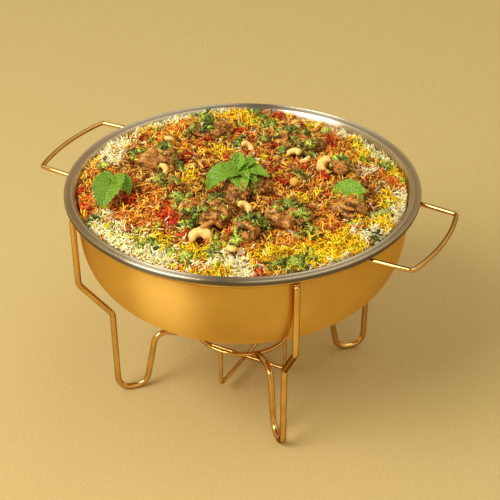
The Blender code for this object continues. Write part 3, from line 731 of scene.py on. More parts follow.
def scatter(name, templates, centres, frames, sizes, material, slot, tones, bends=None):
    """One piece of many copies, each with its own place, size, bend, tone and cell of the bake map."""
    number = len(centres)
    columns = math.ceil(math.sqrt(number))
    bends = np.zeros(number) if bends is None else bends
    all_points, all_faces, all_uv, all_tones = [], [], [], []
    before = 0
    for which, template in enumerate(templates):
        chosen = np.arange(which, number, len(templates))
        if not len(chosen):
            continue
        local = template.points[None] * sizes[chosen][:, None]
        local[..., 2] -= bends[chosen][:, None] * local[..., 0] ** 2
        placed = np.einsum("nij,nkj->nki", frames[chosen], local) + centres[chosen][:, None]
        size = len(template.points)
        faces = template.faces[None] + (before + np.arange(len(chosen)) * size)[:, None, None]
        cell = np.column_stack([chosen % columns, chosen // columns])
        uv = (cell[:, None] + 0.06 + 0.88 * template.uv[None]) / columns
        all_points.append(placed.reshape(-1, 3))
        all_faces.append(faces.reshape(-1, template.faces.shape[1]))
        all_uv.append(uv.reshape(-1, 2))
        all_tones.append(np.repeat(tones[chosen], size))
        before += len(chosen) * size
    points, faces, uv = np.vstack(all_points), np.vstack(all_faces), np.vstack(all_uv)
    add_piece(name, points, faces, material, slot=slot, OFBake=uv, tone=np.concatenate(all_tones))


# Shader node groups and materials


def node(tree, kind, inputs=None, **settings):
    """A shader node with its settings; an input takes a value or another node's output."""
    made = tree.nodes.new(kind)
    for key, value in settings.items():
        setattr(made, key, value)
    for key, value in (inputs or {}).items():
        socket = made.inputs[key]
        if isinstance(value, bpy.types.NodeSocket):
            tree.links.new(value, socket)
        elif socket.type == "RGBA":
            socket.default_value = (*value[:3], 1)
        else:
            socket.default_value = value
    return made


def maths(tree, operation, first, second=0.0, clamp=False):
    made = node(tree, "ShaderNodeMath", {0: first, 1: second}, operation=operation, use_clamp=clamp)
    return made.outputs[0]


def mixed(tree, share, first, second, **settings):
    """A colour between two, by share."""
    made = node(tree, "ShaderNodeMix", {0: share, 6: first, 7: second}, data_type="RGBA", **settings)
    return made.outputs[2]


def noise(tree, vector, scale, detail):
    return node(tree, "ShaderNodeTexNoise", {"Vector": vector, "Scale": scale, "Detail": detail}).outputs[0]


def eased(tree, value, first, last):
    """A soft step from 0 to 1 while the value goes from first to last."""
    inputs = {"Value": value, "From Min": first, "From Max": last}
    return node(tree, "ShaderNodeMapRange", inputs, interpolation_type="SMOOTHSTEP").outputs[0]


def mottle(tree, given):
    """Three colours mixed by two sizes of noise and a tone, with a height to match."""
    coarse = noise(tree, given["Vector"], given["Scale"], 3.0)
    fine = noise(tree, given["Vector"], maths(tree, "MULTIPLY", given["Scale"], 4.1), 2.0)
    blend = maths(tree, "ADD", maths(tree, "MULTIPLY", coarse, 0.6), maths(tree, "MULTIPLY", fine, 0.4))
    spread = maths(tree, "MULTIPLY", maths(tree, "SUBTRACT", blend, 0.5), given["Contrast"])
    level = maths(tree, "ADD", spread, given["Tone"], clamp=True)
    low = maths(tree, "MULTIPLY", level, 2.0, clamp=True)
    high = maths(tree, "SUBTRACT", maths(tree, "MULTIPLY", level, 2.0), 1.0, clamp=True)
    lower = mixed(tree, low, given["Dark"], given["Middle"])
    return {"Colour": mixed(tree, high, lower, given["Light"]), "Height": blend}


def oil_film(tree, given):
    """Patches where a surface is wet, as a roughness and a coat."""
    patches = maths(tree, "SUBTRACT", noise(tree, given["Vector"], given["Scale"], 2.0), 0.5)
    over = maths(tree, "ADD", patches, maths(tree, "SUBTRACT", given["Share"], 0.5))
    wet = maths(tree, "ADD", maths(tree, "MULTIPLY", over, 5.0), 0.5, clamp=True)
    change = maths(tree, "MULTIPLY", maths(tree, "SUBTRACT", given["Wet"], given["Dry"]), wet)
    return {"Roughness": maths(tree, "ADD", given["Dry"], change), "Coat": wet}


def worked_metal(tree, given):
    """Fine streaks and soft dull patches in colour, roughness and height."""
    streak = noise(tree, given["Streaks"], given["Streak scale"], 2.0)
    patch = maths(tree, "SUBTRACT", noise(tree, given["Vector"], given["Patch scale"], 3.0), 0.5)
    dull = maths(tree, "ADD", maths(tree, "MULTIPLY", patch, 1.6), 0.3, clamp=True)
    blend = maths(tree, "ADD", maths(tree, "MULTIPLY", dull, 0.7), maths(tree, "MULTIPLY", streak, 0.3))
    change = maths(tree, "MULTIPLY", maths(tree, "SUBTRACT", blend, 0.4), given["Roughness spread"])
    return {
        "Colour": mixed(tree, blend, given["Bright"], given["Dull"]),
        "Roughness": maths(tree, "ADD", given["Roughness"], change, clamp=True),
        "Height": streak,
    }


VECTOR, NUMBER, COLOUR = "NodeSocketVector", "NodeSocketFloat", "NodeSocketColor"
GROUPS = {  # how each group is filled, its inputs with their defaults, and its outputs
    "Mottle": (
        mottle,
        {"Vector": None, "Dark": (0.1, 0.1, 0.1, 1), "Middle": (0.5, 0.5, 0.5, 1),
         "Light": (0.9, 0.9, 0.9, 1), "Scale": 300.0, "Contrast": 1.5, "Tone": 0.5},
        {"Colour": COLOUR, "Height": NUMBER},
    ),
    "Oil film": (
        oil_film,
        {"Vector": None, "Scale": 90.0, "Share": 0.5, "Dry": 0.6, "Wet": 0.25},
        {"Roughness": NUMBER, "Coat": NUMBER},
    ),
    "Worked metal": (
        worked_metal,
        {"Vector": None, "Streaks": None, "Bright": (0.8, 0.8, 0.8, 1), "Dull": (0.5, 0.5, 0.5, 1),
         "Streak scale": 900.0, "Patch scale": 14.0, "Roughness": 0.2, "Roughness spread": 0.1},
        {"Colour": COLOUR, "Roughness": NUMBER, "Height": NUMBER},
    ),
}


def shared_group(name):
    """The shader node group of this name, built the first time it is asked for."""
    if name in bpy.data.node_groups:
        return bpy.data.node_groups[name]
    fill, inputs, outputs = GROUPS[name]
    group = bpy.data.node_groups.new(name, "ShaderNodeTree")
    for key, default in inputs.items():
        kind = VECTOR if default is None else COLOUR if isinstance(default, tuple) else NUMBER
        socket = group.interface.new_socket(key, in_out="INPUT", socket_type=kind)
        if default is not None:
            socket.default_value = default
    for key, kind in outputs.items():
        group.interface.new_socket(key, in_out="OUTPUT", socket_type=kind)
    results = fill(group, group.nodes.new("NodeGroupInput").outputs)
    end = group.nodes.new("NodeGroupOutput")
    for key, result in results.items():
        group.links.new(result, end.inputs[key])
    return group


def placed_group(tree, name, inputs):
    """The outputs of a shared group put in a material with its own values."""
    return node(tree, "ShaderNodeGroup", inputs, node_tree=shared_group(name)).outputs


def new_material(name, **sockets):
    """A material's tree, its Principled BSDF with constant sockets set, and the object coordinates."""
    material = bpy.data.materials.new(name)
    material.use_nodes = True
    tree = material.node_tree
    shader = tree.nodes["Principled BSDF"]
    for key, value in sockets.items():
        shader.inputs[key.replace("_", " ").title().replace("Ior", "IOR")].default_value = value
    place = node(tree, "ShaderNodeTexCoord").outputs["Object"]
    return material, tree, shader, place


def bump(tree, shader, height, distance, strength=0.6):
    made = node(tree, "ShaderNodeBump", {"Height": height, "Distance": distance, "Strength": strength})
    tree.links.new(made.outputs[0], shader.inputs["Normal"])


def attribute(tree, name, output="Fac"):
    return node(tree, "ShaderNodeAttribute", attribute_name=name).outputs[output]


# the dark colour that toned metal is painted towards: painted shade and painted dark reflection
PAINTED_SHADE_AND_REFLECTION = (0.03, 0.025, 0.02)


def shade(base, factor, warm=1.0):
    """A lighter or darker version of a colour; warm over 1 keeps more red than blue."""
    red, green, blue = base
    return (min(red * factor * warm, 1), min(green * factor, 1), min(blue * factor / warm, 1))


def food_material(
    name, dark, middle, light, scale=300.0, contrast=1.5, wet=0.5, dry_roughness=0.55, wet_roughness=0.28,
    coat=0.35, relief=0.25 * MM, toned=False
):
    """Mottled food with an oil film; toned food is lightened or darkened by its points' tone."""
    material, tree, shader, place = new_material(name, coat_roughness=0.2, specular_ior_level=0.35)
    inputs = {
        "Vector": place, "Dark": dark, "Middle": middle, "Light": light, "Scale": scale, "Contrast": contrast
    }
    if toned:
        inputs["Tone"] = attribute(tree, "tone")
    flesh = placed_group(tree, "Mottle", inputs)
    inputs = {"Vector": place, "Share": wet, "Dry": dry_roughness, "Wet": wet_roughness}
    oil = placed_group(tree, "Oil film", inputs)
    tree.links.new(flesh["Colour"], shader.inputs["Base Color"])
    tree.links.new(oil["Roughness"], shader.inputs["Roughness"])
    tree.links.new(maths(tree, "MULTIPLY", oil["Coat"], coat), shader.inputs["Coat Weight"])
    bump(tree, shader, flesh["Height"], relief)
    return material


def metal_material(
    name, bright, dull, roughness, spread, streaks, relief, turned=True, edge=1.0, patches=14.0, toned=False
):
    """Polished metal with fine lines, round the axis if turned; toned metal is painted dark where its tone is
    low, as painted shade and painted dark reflection.
    """
    brushed = 1.0 if turned else 0.0
    material, tree, shader, place = new_material(
        name, metallic=1.0, anisotropic=brushed, anisotropic_rotation=0.25
    )
    shader.inputs["Specular Tint"].default_value = (edge, edge * 0.85, edge * 0.7, 1)
    lines = place
    if turned:
        parts = node(tree, "ShaderNodeSeparateXYZ", {0: place}).outputs
        flat = node(tree, "ShaderNodeCombineXYZ", {0: parts[0], 1: parts[1]}).outputs[0]
        radius = node(tree, "ShaderNodeVectorMath", {0: flat}, operation="LENGTH").outputs["Value"]
        lines = node(tree, "ShaderNodeCombineXYZ", {0: radius, 2: parts[2]}).outputs[0]
    inputs = {
        "Vector": place, "Streaks": lines, "Bright": bright, "Dull": dull, "Streak scale": streaks,
        "Roughness": roughness, "Roughness spread": spread, "Patch scale": patches
    }
    metal = placed_group(tree, "Worked metal", inputs)
    surface = metal["Colour"]
    # a low tone paints the metal dark: painted shade and painted dark reflection
    if toned:
        surface = mixed(tree, attribute(tree, "tone"), PAINTED_SHADE_AND_REFLECTION, surface)
    tree.links.new(surface, shader.inputs["Base Color"])
    tree.links.new(metal["Roughness"], shader.inputs["Roughness"])
    bump(tree, shader, metal["Height"], relief, 0.3)
    return material


# Bowl


def bottom_curve(inset, steps=34):
    """The round bottom as (radius, height), from the axis outwards, this far inside the bowl's skin."""
    radius = WALL_RADIUS - inset
    depth = WALL_FOOT - BOWL_BOTTOM - inset
    angles = np.linspace(math.pi / 2, 0, steps + 1)
    across = radius * np.maximum(np.cos(angles), 0) ** (2 / ROUNDNESS_ACROSS)
    down = depth * np.maximum(np.sin(angles), 0) ** (2 / ROUNDNESS_UP)
    curve = np.column_stack([across, WALL_FOOT - down])
    curve[0] = (0, WALL_FOOT - depth)
    return [tuple(point) for point in curve]


def flare(inset, top):
    """The wall's curve out to the flange, from below."""
    bend = FLANGE_INNER - WALL_RADIUS + inset
    points = []
    for step in range(FLARE_STEPS + 1):
        angle = math.pi / 2 * step / FLARE_STEPS
        points.append((FLANGE_INNER - bend * math.cos(angle), top - FLARE_DEPTH * (1 - math.sin(angle))))
    return points


class BIRYANI_OT_bowl(Operator):
    """Build the gold outside and the steel inside of the bowl"""

    bl_idname = "biryani.bowl"
    bl_label = "Bowl"

    def add_outside(self, settings, flange_top):
        gold = metal_material(
            "plated_gold", settings.gold, settings.gold_shade, settings.satin, 0.10, 1500.0, 0.01 * MM,
            edge=0.8
        )
        under = flange_top - WALL
        skirt = FLANGE_INNER + 4 * MM
        outside = bottom_curve(0) + flare(0, under)
        outside += [(skirt, under), (skirt, under + SKIN - SKIN_GAP)]
        back = flare(SKIN, under + SKIN - SKIN_GAP)[::-1] + bottom_curve(SKIN)[::-1]
        points, faces = lathe(outside + back, settings.facets)
        add_piece("bowl_outside", points, faces, gold, slot="gold_bowl", replaces=("bowl",))

    def add_liner(self, settings, flange_top):
        steel = metal_material(
            "satin_steel", settings.steel, settings.steel_shade, 0.31, 0.12, 1800.0, 0.01 * MM, toned=True
        )
        under = flange_top - WALL
        inside = bottom_curve(WALL) + flare(WALL, flange_top)
        lip_middle = (RIM_RADIUS - LIP_WIDTH / 2 - 0.02 * MM, RIM_TOP - LIP_HEIGHT / 2 - 0.1 * MM)
        for share in np.linspace(0.1, 1, 10):  # the flange dips a little between its inner edge and the lip
            dip = TROUGH_DEPTH * math.sin(math.pi * share**0.8) ** 2
            inside.append((FLANGE_INNER + TROUGH_WIDTH * share, flange_top - dip))
        for degrees in range(140, -181, -20):
            angle = math.radians(degrees)
            out, up = LIP_WIDTH / 2 * math.cos(angle), (LIP_HEIGHT / 2 - 0.1 * MM) * math.sin(angle)
            inside.append((lip_middle[0] + out, lip_middle[1] + up))
        inside.append((FLANGE_INNER + 4.3 * MM, under + SKIN))
        back = flare(SKIN + SKIN_GAP, under + SKIN)[::-1] + bottom_curve(SKIN + SKIN_GAP)[::-1]
        points, faces = lathe(inside + back, settings.facets)
        faces = [group[:, ::-1] for group in faces]  # this outline runs up the inside first
        out = np.hypot(points[:, 0], points[:, 1]) - lip_middle[0]
        # painted shade underneath the lip and a painted dark reflection on its outer side keep the lip dark
        outer_side = np.clip(out / (LIP_WIDTH / 2) - 0.35, 0, 0.6) / 0.6
        underneath = np.clip((lip_middle[1] - points[:, 2]) / (LIP_HEIGHT / 2), 0, 1) * (out > -LIP_WIDTH)
        tone = 1 - 0.8 * np.maximum(outer_side, underneath)
        add_piece("bowl_liner", points, faces, steel, slot="steel_inside", replaces=("bowl",), tone=tone)

    def execute(self, context):
        settings = context.scene.biryani_bowl
        self.add_outside(settings, RIM_TOP - FLANGE_DROP)
        self.add_liner(settings, RIM_TOP - FLANGE_DROP)
        return {"FINISHED"}


# Stand

BEND_STEP = 7  # degrees of a wire's bend for each ring of points


def polar(radius, bearing, height):
    angle = math.radians(bearing)
    return Vector((radius * math.cos(angle), radius * math.sin(angle), height))


def filleted(corners):
    """Points of a wire that turns at each (point, bend radius) corner."""
    path = [corners[0][0]]
    for before, (corner, bend), after in zip(corners, corners[1:], corners[2:]):
        back = (before[0] - corner).normalized()
        onward = (after[0] - corner).normalized()
        half = back.angle(onward) / 2
        centre = corner + (back + onward).normalized() * bend / math.sin(half)
        start = corner + back * bend / math.tan(half) - centre
        turn = math.pi - 2 * half
        steps = max(2, math.ceil(math.degrees(turn) / BEND_STEP))
        axis = back.cross(onward)
        path += [centre + Matrix.Rotation(-turn * step / steps, 3, axis) @ start for step in range(steps + 1)]
    path.append(corners[-1][0])
    return path


def ring_path(radius, height, steps):
    return [polar(radius, 360 * step / steps, height) for step in range(steps)]


def bead(place, size, seed):
    """A small uneven weld."""
    rings = 7
    outline = [(0, -size[2])]
    for step in range(1, rings):
        angle = math.pi * step / rings - math.pi / 2
        outline.append((math.cos(angle), size[2] * math.sin(angle)))
    outline.append((0, size[2]))
    points, faces = lathe(outline, 12)
    points[:, :2] *= size[:2]
    points *= 1 + 0.09 * ripple(points, size[0] * 1.6, seed, 12)[:, None]
    return points + np.array(place), faces


LEGS = {"front": -45, "right": 45, "back": 135, "left": -135}  # their bearings
LEG_WELD = (4.2 * MM, 4.2 * MM, 2 * MM)  # half sizes
BURNER_WELD = (3.4 * MM, 3.4 * MM, 2.4 * MM)
HANDLE_WELD = (2.9 * MM, 3.6 * MM, 2.7 * MM)
CRADLE_WELD = (2.9 * MM, 2.9 * MM, 1.6 * MM)


def leg_path(settings, bearing):
    """The route of one leg wire from under the top ring to the burner ring."""
    top = RING_HEIGHT - RING_WIRE / 2 - 0.3 * MM - settings.leg_wire / 2
    floor = settings.leg_wire / 2
    shoulder = Vector((settings.shoulder_radius, settings.shoulder_height))
    weld = Vector((BURNER_RADIUS, BURNER_HEIGHT))
    end = weld + (shoulder - weld).normalized() * (BURNER_WIRE / 2 + settings.leg_wire * 0.3)
    bends = (
        (LEG_TOP_RADIUS - 3.5 * MM, top, 0),
        (LEG_TOP_RADIUS, top, 3.2 * MM),
        (settings.knee_radius, settings.knee_height, 14 * MM),
        (settings.ankle_radius, settings.ankle_height, 14 * MM),
        (settings.foot_outer, floor, 16 * MM),
        (settings.foot_inner, floor, 16 * MM),
        (*shoulder, 15 * MM),
        (*end, 0),
    )
    return filleted([(polar(radius, bearing, height), bend) for radius, height, bend in bends])


def handle_path(settings, side):
    """The route of one handle wire, out from the ring, round its arc and back."""
    foot_radius = RING_RADIUS + RING_WIRE / 2
    foot = math.sqrt(foot_radius**2 - (settings.handle_foot_half_width - settings.handle_wire / 2) ** 2)
    foot += settings.handle_wire / 2
    half_turn = math.degrees(math.asin(settings.handle_half_width / settings.handle_reach))
    arc = [polar(settings.handle_reach, half_turn * step / 12, RING_HEIGHT) for step in range(-12, 13)]
    feet = [Vector((foot, y * settings.handle_foot_half_width, RING_HEIGHT)) for y in (-1, 1)]
    start = filleted([(feet[0], 0), (arc[0], 5 * MM), (arc[2], 0)])[:-1]
    finish = filleted([(arc[-3], 0), (arc[-1], 5 * MM), (feet[1], 0)])[1:]
    path = start + arc[2:-2] + finish
    return [Vector((side * point.x, side * point.y, point.z)) for point in path]


def cradle_path(bearing, floor, top):
    corners = (
        (polar(BURNER_RADIUS, bearing, top), 0),
        (polar(BURNER_RADIUS, bearing, floor), 4 * MM),
        (polar(-BURNER_RADIUS, bearing, floor), 4 * MM),
        (polar(-BURNER_RADIUS, bearing, top), 0),
    )
    return filleted(corners)


class BIRYANI_OT_stand(Operator):
    """Build the stand's smooth wires and their welds"""

    bl_idname = "biryani.stand"
    bl_label = "Wire stand"

    def add_wires(self, settings, gold):
        wires = {
            "top_ring": (ring_path(RING_RADIUS, RING_HEIGHT, 144), RING_WIRE, True),
            "burner_ring": (ring_path(BURNER_RADIUS, BURNER_HEIGHT, 80), BURNER_WIRE, True),
            "handle_right": (handle_path(settings, 1), settings.handle_wire, False),
            "handle_left": (handle_path(settings, -1), settings.handle_wire, False),
        }
        for name, bearing in (("upper", 0), ("lower", 90)):
            node_name = f"cradle_wire_{name}"
            low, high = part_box(node_name)
            half = settings.cradle_wire / 2
            path = cradle_path(bearing, low.z + half, high.z - half * 0.4)
            wires[node_name] = (path, settings.cradle_wire, False)
        for place, bearing in LEGS.items():
            wires[f"leg_{place}"] = (leg_path(settings, bearing), settings.leg_wire, False)
        for name, (path, width, closed) in wires.items():
            points, faces = tube([tuple(p) for p in path], width, 14, closed=closed)
            add_piece(f"{name}_wire", points, faces, gold, slot="gold_wire", replaces=(name,))

    def add_welds(self, settings, gold):
        beads = []
        under_ring = RING_HEIGHT - RING_WIRE / 2
        for number, bearing in enumerate(LEGS.values()):
            place = polar(RING_RADIUS + 1.5 * MM, bearing, under_ring)
            beads.append(bead(place, LEG_WELD, number))
            place = polar(BURNER_RADIUS + BURNER_WIRE / 2, bearing, BURNER_HEIGHT + 0.5 * MM)
            beads.append(bead(place, BURNER_WELD, 10 + number))
        for side in (-1, 1):
            for up in (-1, 1):
                y = up * (settings.handle_foot_half_width - 0.8 * MM)
                x = side * math.sqrt((RING_RADIUS + RING_WIRE / 2) ** 2 - y**2)
                beads.append(bead((x, y, RING_HEIGHT), HANDLE_WELD, 20 + side + 3 * up))
        for number in range(4):
            place = polar(BURNER_RADIUS, 90 * number, BURNER_HEIGHT - BURNER_WIRE / 2)
            beads.append(bead(place, CRADLE_WELD, 30 + number))
        points, faces = joined(beads)
        add_piece("stand_welds", points, faces, gold, slot="gold_wire")

    def execute(self, context):
        settings = context.scene.biryani_stand
        gold = metal_material(
            "polished_gold_wire", settings.gold, settings.gold_shade, 0.04, 0.05, 420.0, 0.02 * MM,
            turned=False, edge=0.1, patches=48.0
        )
        self.add_wires(settings, gold)
        self.add_welds(settings, gold)
        return {"FINISHED"}


# Rice

CORE_RINGS = 84
CORE_STEPS = 260
CORE_DEPTH = 2.1 * MM  # from the tops of the grains down to the core
CORE_GAP = 0.3 * MM  # between the core and the bowl's inside
ON_MEAT_SHARE = 0.04  # of the grains that fall on meat, this share stays there
MASALA_THINNING = 0.45  # share of the grains left out where masala lies thick
UPRIGHT_SHARE = 0.05
GRAIN_LOOKS = {  # shares of the base colour in the dark and light parts, wetness and coat
    "white": ((0.92, 0.82, 0.48), (1.0, 1.05, 1.2), 0.35, 0.1),
    "yellow": ((0.88, 0.62, 0.4), (1.0, 1.2, 4.0), 0.5, 0.08),
    "orange": ((0.55, 0.27, 0.14), (1.1, 1.9, 3.6), 0.6, 0.1),
    "red": ((0.55, 0.2, 0.1), (1.2, 3.0, 4.0), 0.65, 0.1),
    "masala": ((0.27, 0.165, 0.06), (2.1, 2.9, 6.4), 0.5, 0.12),
}


class BIRYANI_OT_rice(Operator):
    """Build the heap's core and lay the loose grains of rice on it"""

    bl_idname = "biryani.rice"
    bl_label = "Rice"

    def colours(self, settings):
        """The colour of each kind of rice."""
        return {kind: tuple(getattr(settings, kind)) for kind in KINDS}

    def core_material(self):
        """Grains drawn in colour and relief, with painted shade in the gaps between them, over the colour of
        the kind that lies there.
        """
        material, tree, shader, place = new_material("rice_core", roughness=0.6, specular_ior_level=0.3)
        bed = []  # grains lying two ways, chosen from place to place
        for stretch in ((0.22, 1.0, 0.6), (1.0, 0.26, 0.6)):
            lying = node(tree, "ShaderNodeVectorMath", {0: place, 1: stretch}, operation="MULTIPLY")
            cells = node(tree, "ShaderNodeTexVoronoi", {"Vector": lying.outputs[0], "Scale": 620.0})
            bed.append(cells.outputs["Distance"])
        which = maths(tree, "GREATER_THAN", noise(tree, place, 130.0, 0.0), 0.5)
        one = maths(tree, "MULTIPLY", which, bed[0])
        other = maths(tree, "MULTIPLY", maths(tree, "SUBTRACT", 1.0, which), bed[1])
        grainy = maths(tree, "SUBTRACT", 0.95, maths(tree, "ADD", one, other))
        # the dark colour falls in the sunken gaps between the drawn grains: painted shade
        inputs = {
            "Vector": place, "Scale": 420.0, "Contrast": 1.0, "Dark": (0.22, 0.17, 0.12),
            "Middle": (0.75, 0.72, 0.66), "Light": (1.0, 1.0, 0.98), "Tone": grainy
        }
        grains = placed_group(tree, "Mottle", inputs)["Colour"]
        product = mixed(tree, 1.0, attribute(tree, "zone", "Color"), grains, blend_type="MULTIPLY")
        tree.links.new(product, shader.inputs["Base Color"])
        oil = placed_group(tree, "Oil film", {"Vector": place, "Share": 0.45, "Dry": 0.62, "Wet": 0.35})
        tree.links.new(oil["Roughness"], shader.inputs["Roughness"])
        bump(tree, shader, grainy, 1.1 * MM)
        return material

    def add_core(self, settings):
        """The heap's body a little below the grains, coloured by the kind of rice that lies on it and
        darkened as painted shade between the grains.
        """
        rings, steps = CORE_RINGS, CORE_STEPS
        edge = RICE_RADIUS - 0.4 * MM
        out = np.linspace(0, 1, rings + 1)[1:] ** 0.75
        angles = np.arange(steps) * TAU / steps
        x = (edge * out[:, None] * np.cos(angles)).ravel()
        y = (edge * out[:, None] * np.sin(angles)).ravel()
        places = np.column_stack([x, y])
        fine = 0.5 * MM * ripple(places, 4.2 * MM, 21) + 0.45 * MM * ripple(places, 2.3 * MM, 22)
        shrink = np.clip((1 - np.hypot(x, y) / edge) / 0.02, 0.3, 1)
        z = rice_surface(x, y) - CORE_DEPTH + fine * shrink
        top = np.column_stack([x, y, z])
        walls = []
        for radius, height in bottom_curve(WALL + CORE_GAP, 12)[:0:-1]:
            reach = min(radius, edge)
            level = np.full(steps, height)
            walls.append(np.column_stack([reach * np.cos(angles), reach * np.sin(angles), level]))
        points = np.vstack([top, *walls])
        middle_height = rice_surface(np.zeros(1), np.zeros(1))[0] - CORE_DEPTH
        points = np.vstack([points, [0, 0, middle_height], [0, 0, BOWL_BOTTOM + WALL + CORE_GAP]])
        total = rings + len(walls)
        faces = [
            grid_faces(total, steps, closed_columns=True)[:, ::-1],
            fan_faces(np.arange(steps), len(points) - 2),
            fan_faces(np.arange(steps) + (total - 1) * steps, len(points) - 1, flip=True),
        ]
        weights = kind_weights(points[:, 0], points[:, 1])
        zone = weights @ np.array(list(self.colours(settings).values()))
        # the core is painted darker, less so under white and yellow rice: painted shade in the gaps between
        # grains
        clean = weights[:, KINDS.index("white")] + weights[:, KINDS.index("yellow")]
        depth = np.clip(0.5 + 0.52 * clean + 0.16 * ripple(points, 2.6 * MM, 23), 0.25, 1.0)
        zone = zone * depth[:, None] * [1.0, 0.94, 0.84]
        material = self.core_material()
        add_piece("rice_core", points, faces, material, slot="rice", replaces=("rice_heap",), zone=zone)

    def grain_material(self, kind, base):
        dark, light, wet, coat = GRAIN_LOOKS[kind]
        dark = tuple(b * share for b, share in zip(base, dark))
        light = tuple(min(b * share, 1) for b, share in zip(base, light))
        return food_material(
            f"rice_{kind}", dark, base, light, scale=190.0, contrast=1.1, wet=wet, coat=coat,
            relief=0.05 * MM, toned=True
        )

    def add_grains(self, settings, rng):
        number = settings.grains
        x, y = scattered(number, RICE_RADIUS - 1.5 * MM, rng, 1.0 * MM)
        z, normals, under = landed(x, y)
        keep = (under == ON_RICE) | ((under == ON_MEAT) & (rng.random(number) < ON_MEAT_SHARE))
        keep &= np.hypot(x, y) < RICE_RADIUS - 1.2 * MM
        keep &= rng.random(number) > MASALA_THINNING * kind_weights(x, y)[:, KINDS.index("masala")]
        x, y, z, normals, under = (each[keep] for each in (x, y, z, normals, under))
        number = len(x)
        weights = kind_weights(x, y)
        pick = (weights.cumsum(1) < rng.random(number)[:, None]).sum(1).clip(0, len(KINDS) - 1)
        azimuths = rng.uniform(0, TAU, number)
        pitches = np.radians(np.clip(rng.normal(9, 17, number), -16, 58))
        stand_up = rng.random(number) < UPRIGHT_SHARE
        pitches[stand_up] = np.radians(rng.uniform(35, 68, stand_up.sum()))
        pitches += np.radians(16) * np.clip((np.hypot(x, y) / RICE_RADIUS - 0.88) / 0.1, 0, 1)
        frames = frames_on(normals, azimuths, pitches)
        lengths = settings.grain_length * np.clip(rng.normal(0.92, 0.16, number), 0.5, 1.3)
        widths = settings.grain_width * np.clip(rng.normal(0.93, 0.12, number), 0.65, 1.2)
        sizes = np.column_stack([lengths, widths, widths * rng.uniform(0.8, 0.95, number)])
        lifts = rng.uniform(-1.7, 1.5, number) * MM + 0.32 * lengths * np.maximum(np.sin(pitches), 0)
        lifts = np.where(under == ON_MEAT, 0.3 * MM, lifts)
        centres = np.column_stack([x, y, z]) + normals * lifts[:, None]
        half = frames[:, :2, 0] * lengths[:, None] / 2
        ends = np.stack([centres[:, :2] - half, centres[:, :2] + half], 1)
        over = np.linalg.norm(ends, axis=2).max(1) - (RICE_RADIUS - 0.7 * MM)
        inward = centres[:, :2] / np.linalg.norm(centres[:, :2], axis=1, keepdims=True)
        centres[:, :2] -= inward * np.maximum(over, 0)[:, None]
        bends = rng.normal(0, 9, number)
        tones = clumped_tones(x, y, rng, 0.49, 0.34)
        grain = grain_template()
        for index, (kind, base) in enumerate(self.colours(settings).items()):
            material = self.grain_material(kind, base)
            own = pick == index
            scatter(
                f"rice_{kind}", [grain], centres[own], frames[own], sizes[own], material, "rice", tones[own],
                bends[own]
            )

    def execute(self, context):
        settings = context.scene.biryani_rice
        self.add_core(settings)
        self.add_grains(settings, np.random.default_rng(5))
        return {"FINISHED"}


ON_RICE, ON_MEAT, ON_OTHER = 0, 1, 2


def landed(x, y):
    """Heights and normals of what lies uppermost, and whether it is rice, meat or another piece."""
    z = rice_surface(x, y)
    normals = rice_normals(x, y)
    under = np.full(len(x), ON_RICE)
    down = Vector((0, 0, -1))
    for tree, kind, low, high in finished_trees():
        inside = np.flatnonzero((x > low[0]) & (x < high[0]) & (y > low[1]) & (y < high[1]))
        for index in inside:
            hit, normal = tree.ray_cast(Vector((x[index], y[index], 0.5)), down)[:2]
            if hit and hit.z > z[index]:
                z[index] = hit.z
                normals[index] = normal if normal.z > 0 else -normal
                under[index] = kind
    flat = normals[:, 2] < 0.25
    normals[flat] += [0, 0, 0.6]
    normals /= np.linalg.norm(normals, axis=1, keepdims=True)
    return z, normals, under


@functools.cache
def finished_trees():
    """Surfaces, kinds and boxes of the finished pieces that lie on the rice."""
    trees = []
    for piece in bpy.context.scene.objects:
        slot = piece.get("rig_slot")
        if slot in ("meat", "bone", "cashew", "chickpea", "tomato", "cinnamon", "chilli"):
            points = np.array([vertex.co for vertex in piece.data.vertices])
            kind = ON_MEAT if slot == "meat" else ON_OTHER
            trees.append((mesh_tree(piece.data), kind, points.min(0), points.max(0)))
    return trees


def clear_of_toppings(x, y, gap):
    """Whether the place lies at least a gap outside the box of every nut and other topping."""
    return not any(
        low[0] - gap < x < high[0] + gap and low[1] - gap < y < high[1] + gap
        for _, kind, low, high in finished_trees()
        if kind == ON_OTHER
    )


def on_meat(number, rng):
    """Places, heights and normals spread over the tops of the chunks."""
    boxes = [(low[:2], high[:2]) for _, kind, low, high in finished_trees() if kind == ON_MEAT]
    areas = np.array([math.prod(high - low) for low, high in boxes])
    numbers = [int(number * share) for share in areas / areas.sum()]
    x, y = np.vstack([rng.uniform(low, high, (own, 2)) for (low, high), own in zip(boxes, numbers)]).T
    z, normals, under = landed(x, y)
    keep = under == ON_MEAT
    return x[keep], y[keep], z[keep], normals[keep]


def clumped_tones(x, y, rng, middle, spread):
    """A lightness for each copy; neighbours in a clump are alike."""
    clump = 0.32 * ripple(np.column_stack([x, y]), 9 * MM, 31)
    return np.clip(rng.normal(middle, spread, len(x)) + clump, 0.02, 0.98)


# Meat


def remeshed(name, detail):
    """The CAD node's shape as an even, rounded mesh: its points and quads."""
    mesh = frame["nodes"][name].data.copy()
    helper = bpy.data.objects.new(f"{name}_helper", mesh)
    bpy.context.scene.collection.objects.link(helper)
    even = helper.modifiers.new("even", "REMESH")
    even.mode = "VOXEL"
    even.voxel_size = detail
    soft = helper.modifiers.new("soft", "SMOOTH")
    soft.factor = 0.6
    soft.iterations = 14
    bpy.context.view_layer.update()
    evaluated = helper.evaluated_get(bpy.context.evaluated_depsgraph_get()).to_mesh()
    points = np.empty(len(evaluated.vertices) * 3, np.float32)
    normals = np.empty(len(evaluated.vertices) * 3, np.float32)
    evaluated.vertices.foreach_get("co", points)
    evaluated.vertices.foreach_get("normal", normals)
    faces = np.array([tuple(face.vertices) for face in evaluated.polygons if len(face.vertices) == 4])
    bpy.data.objects.remove(helper)
    return points.reshape(-1, 3).astype(float), normals.reshape(-1, 3).astype(float), faces


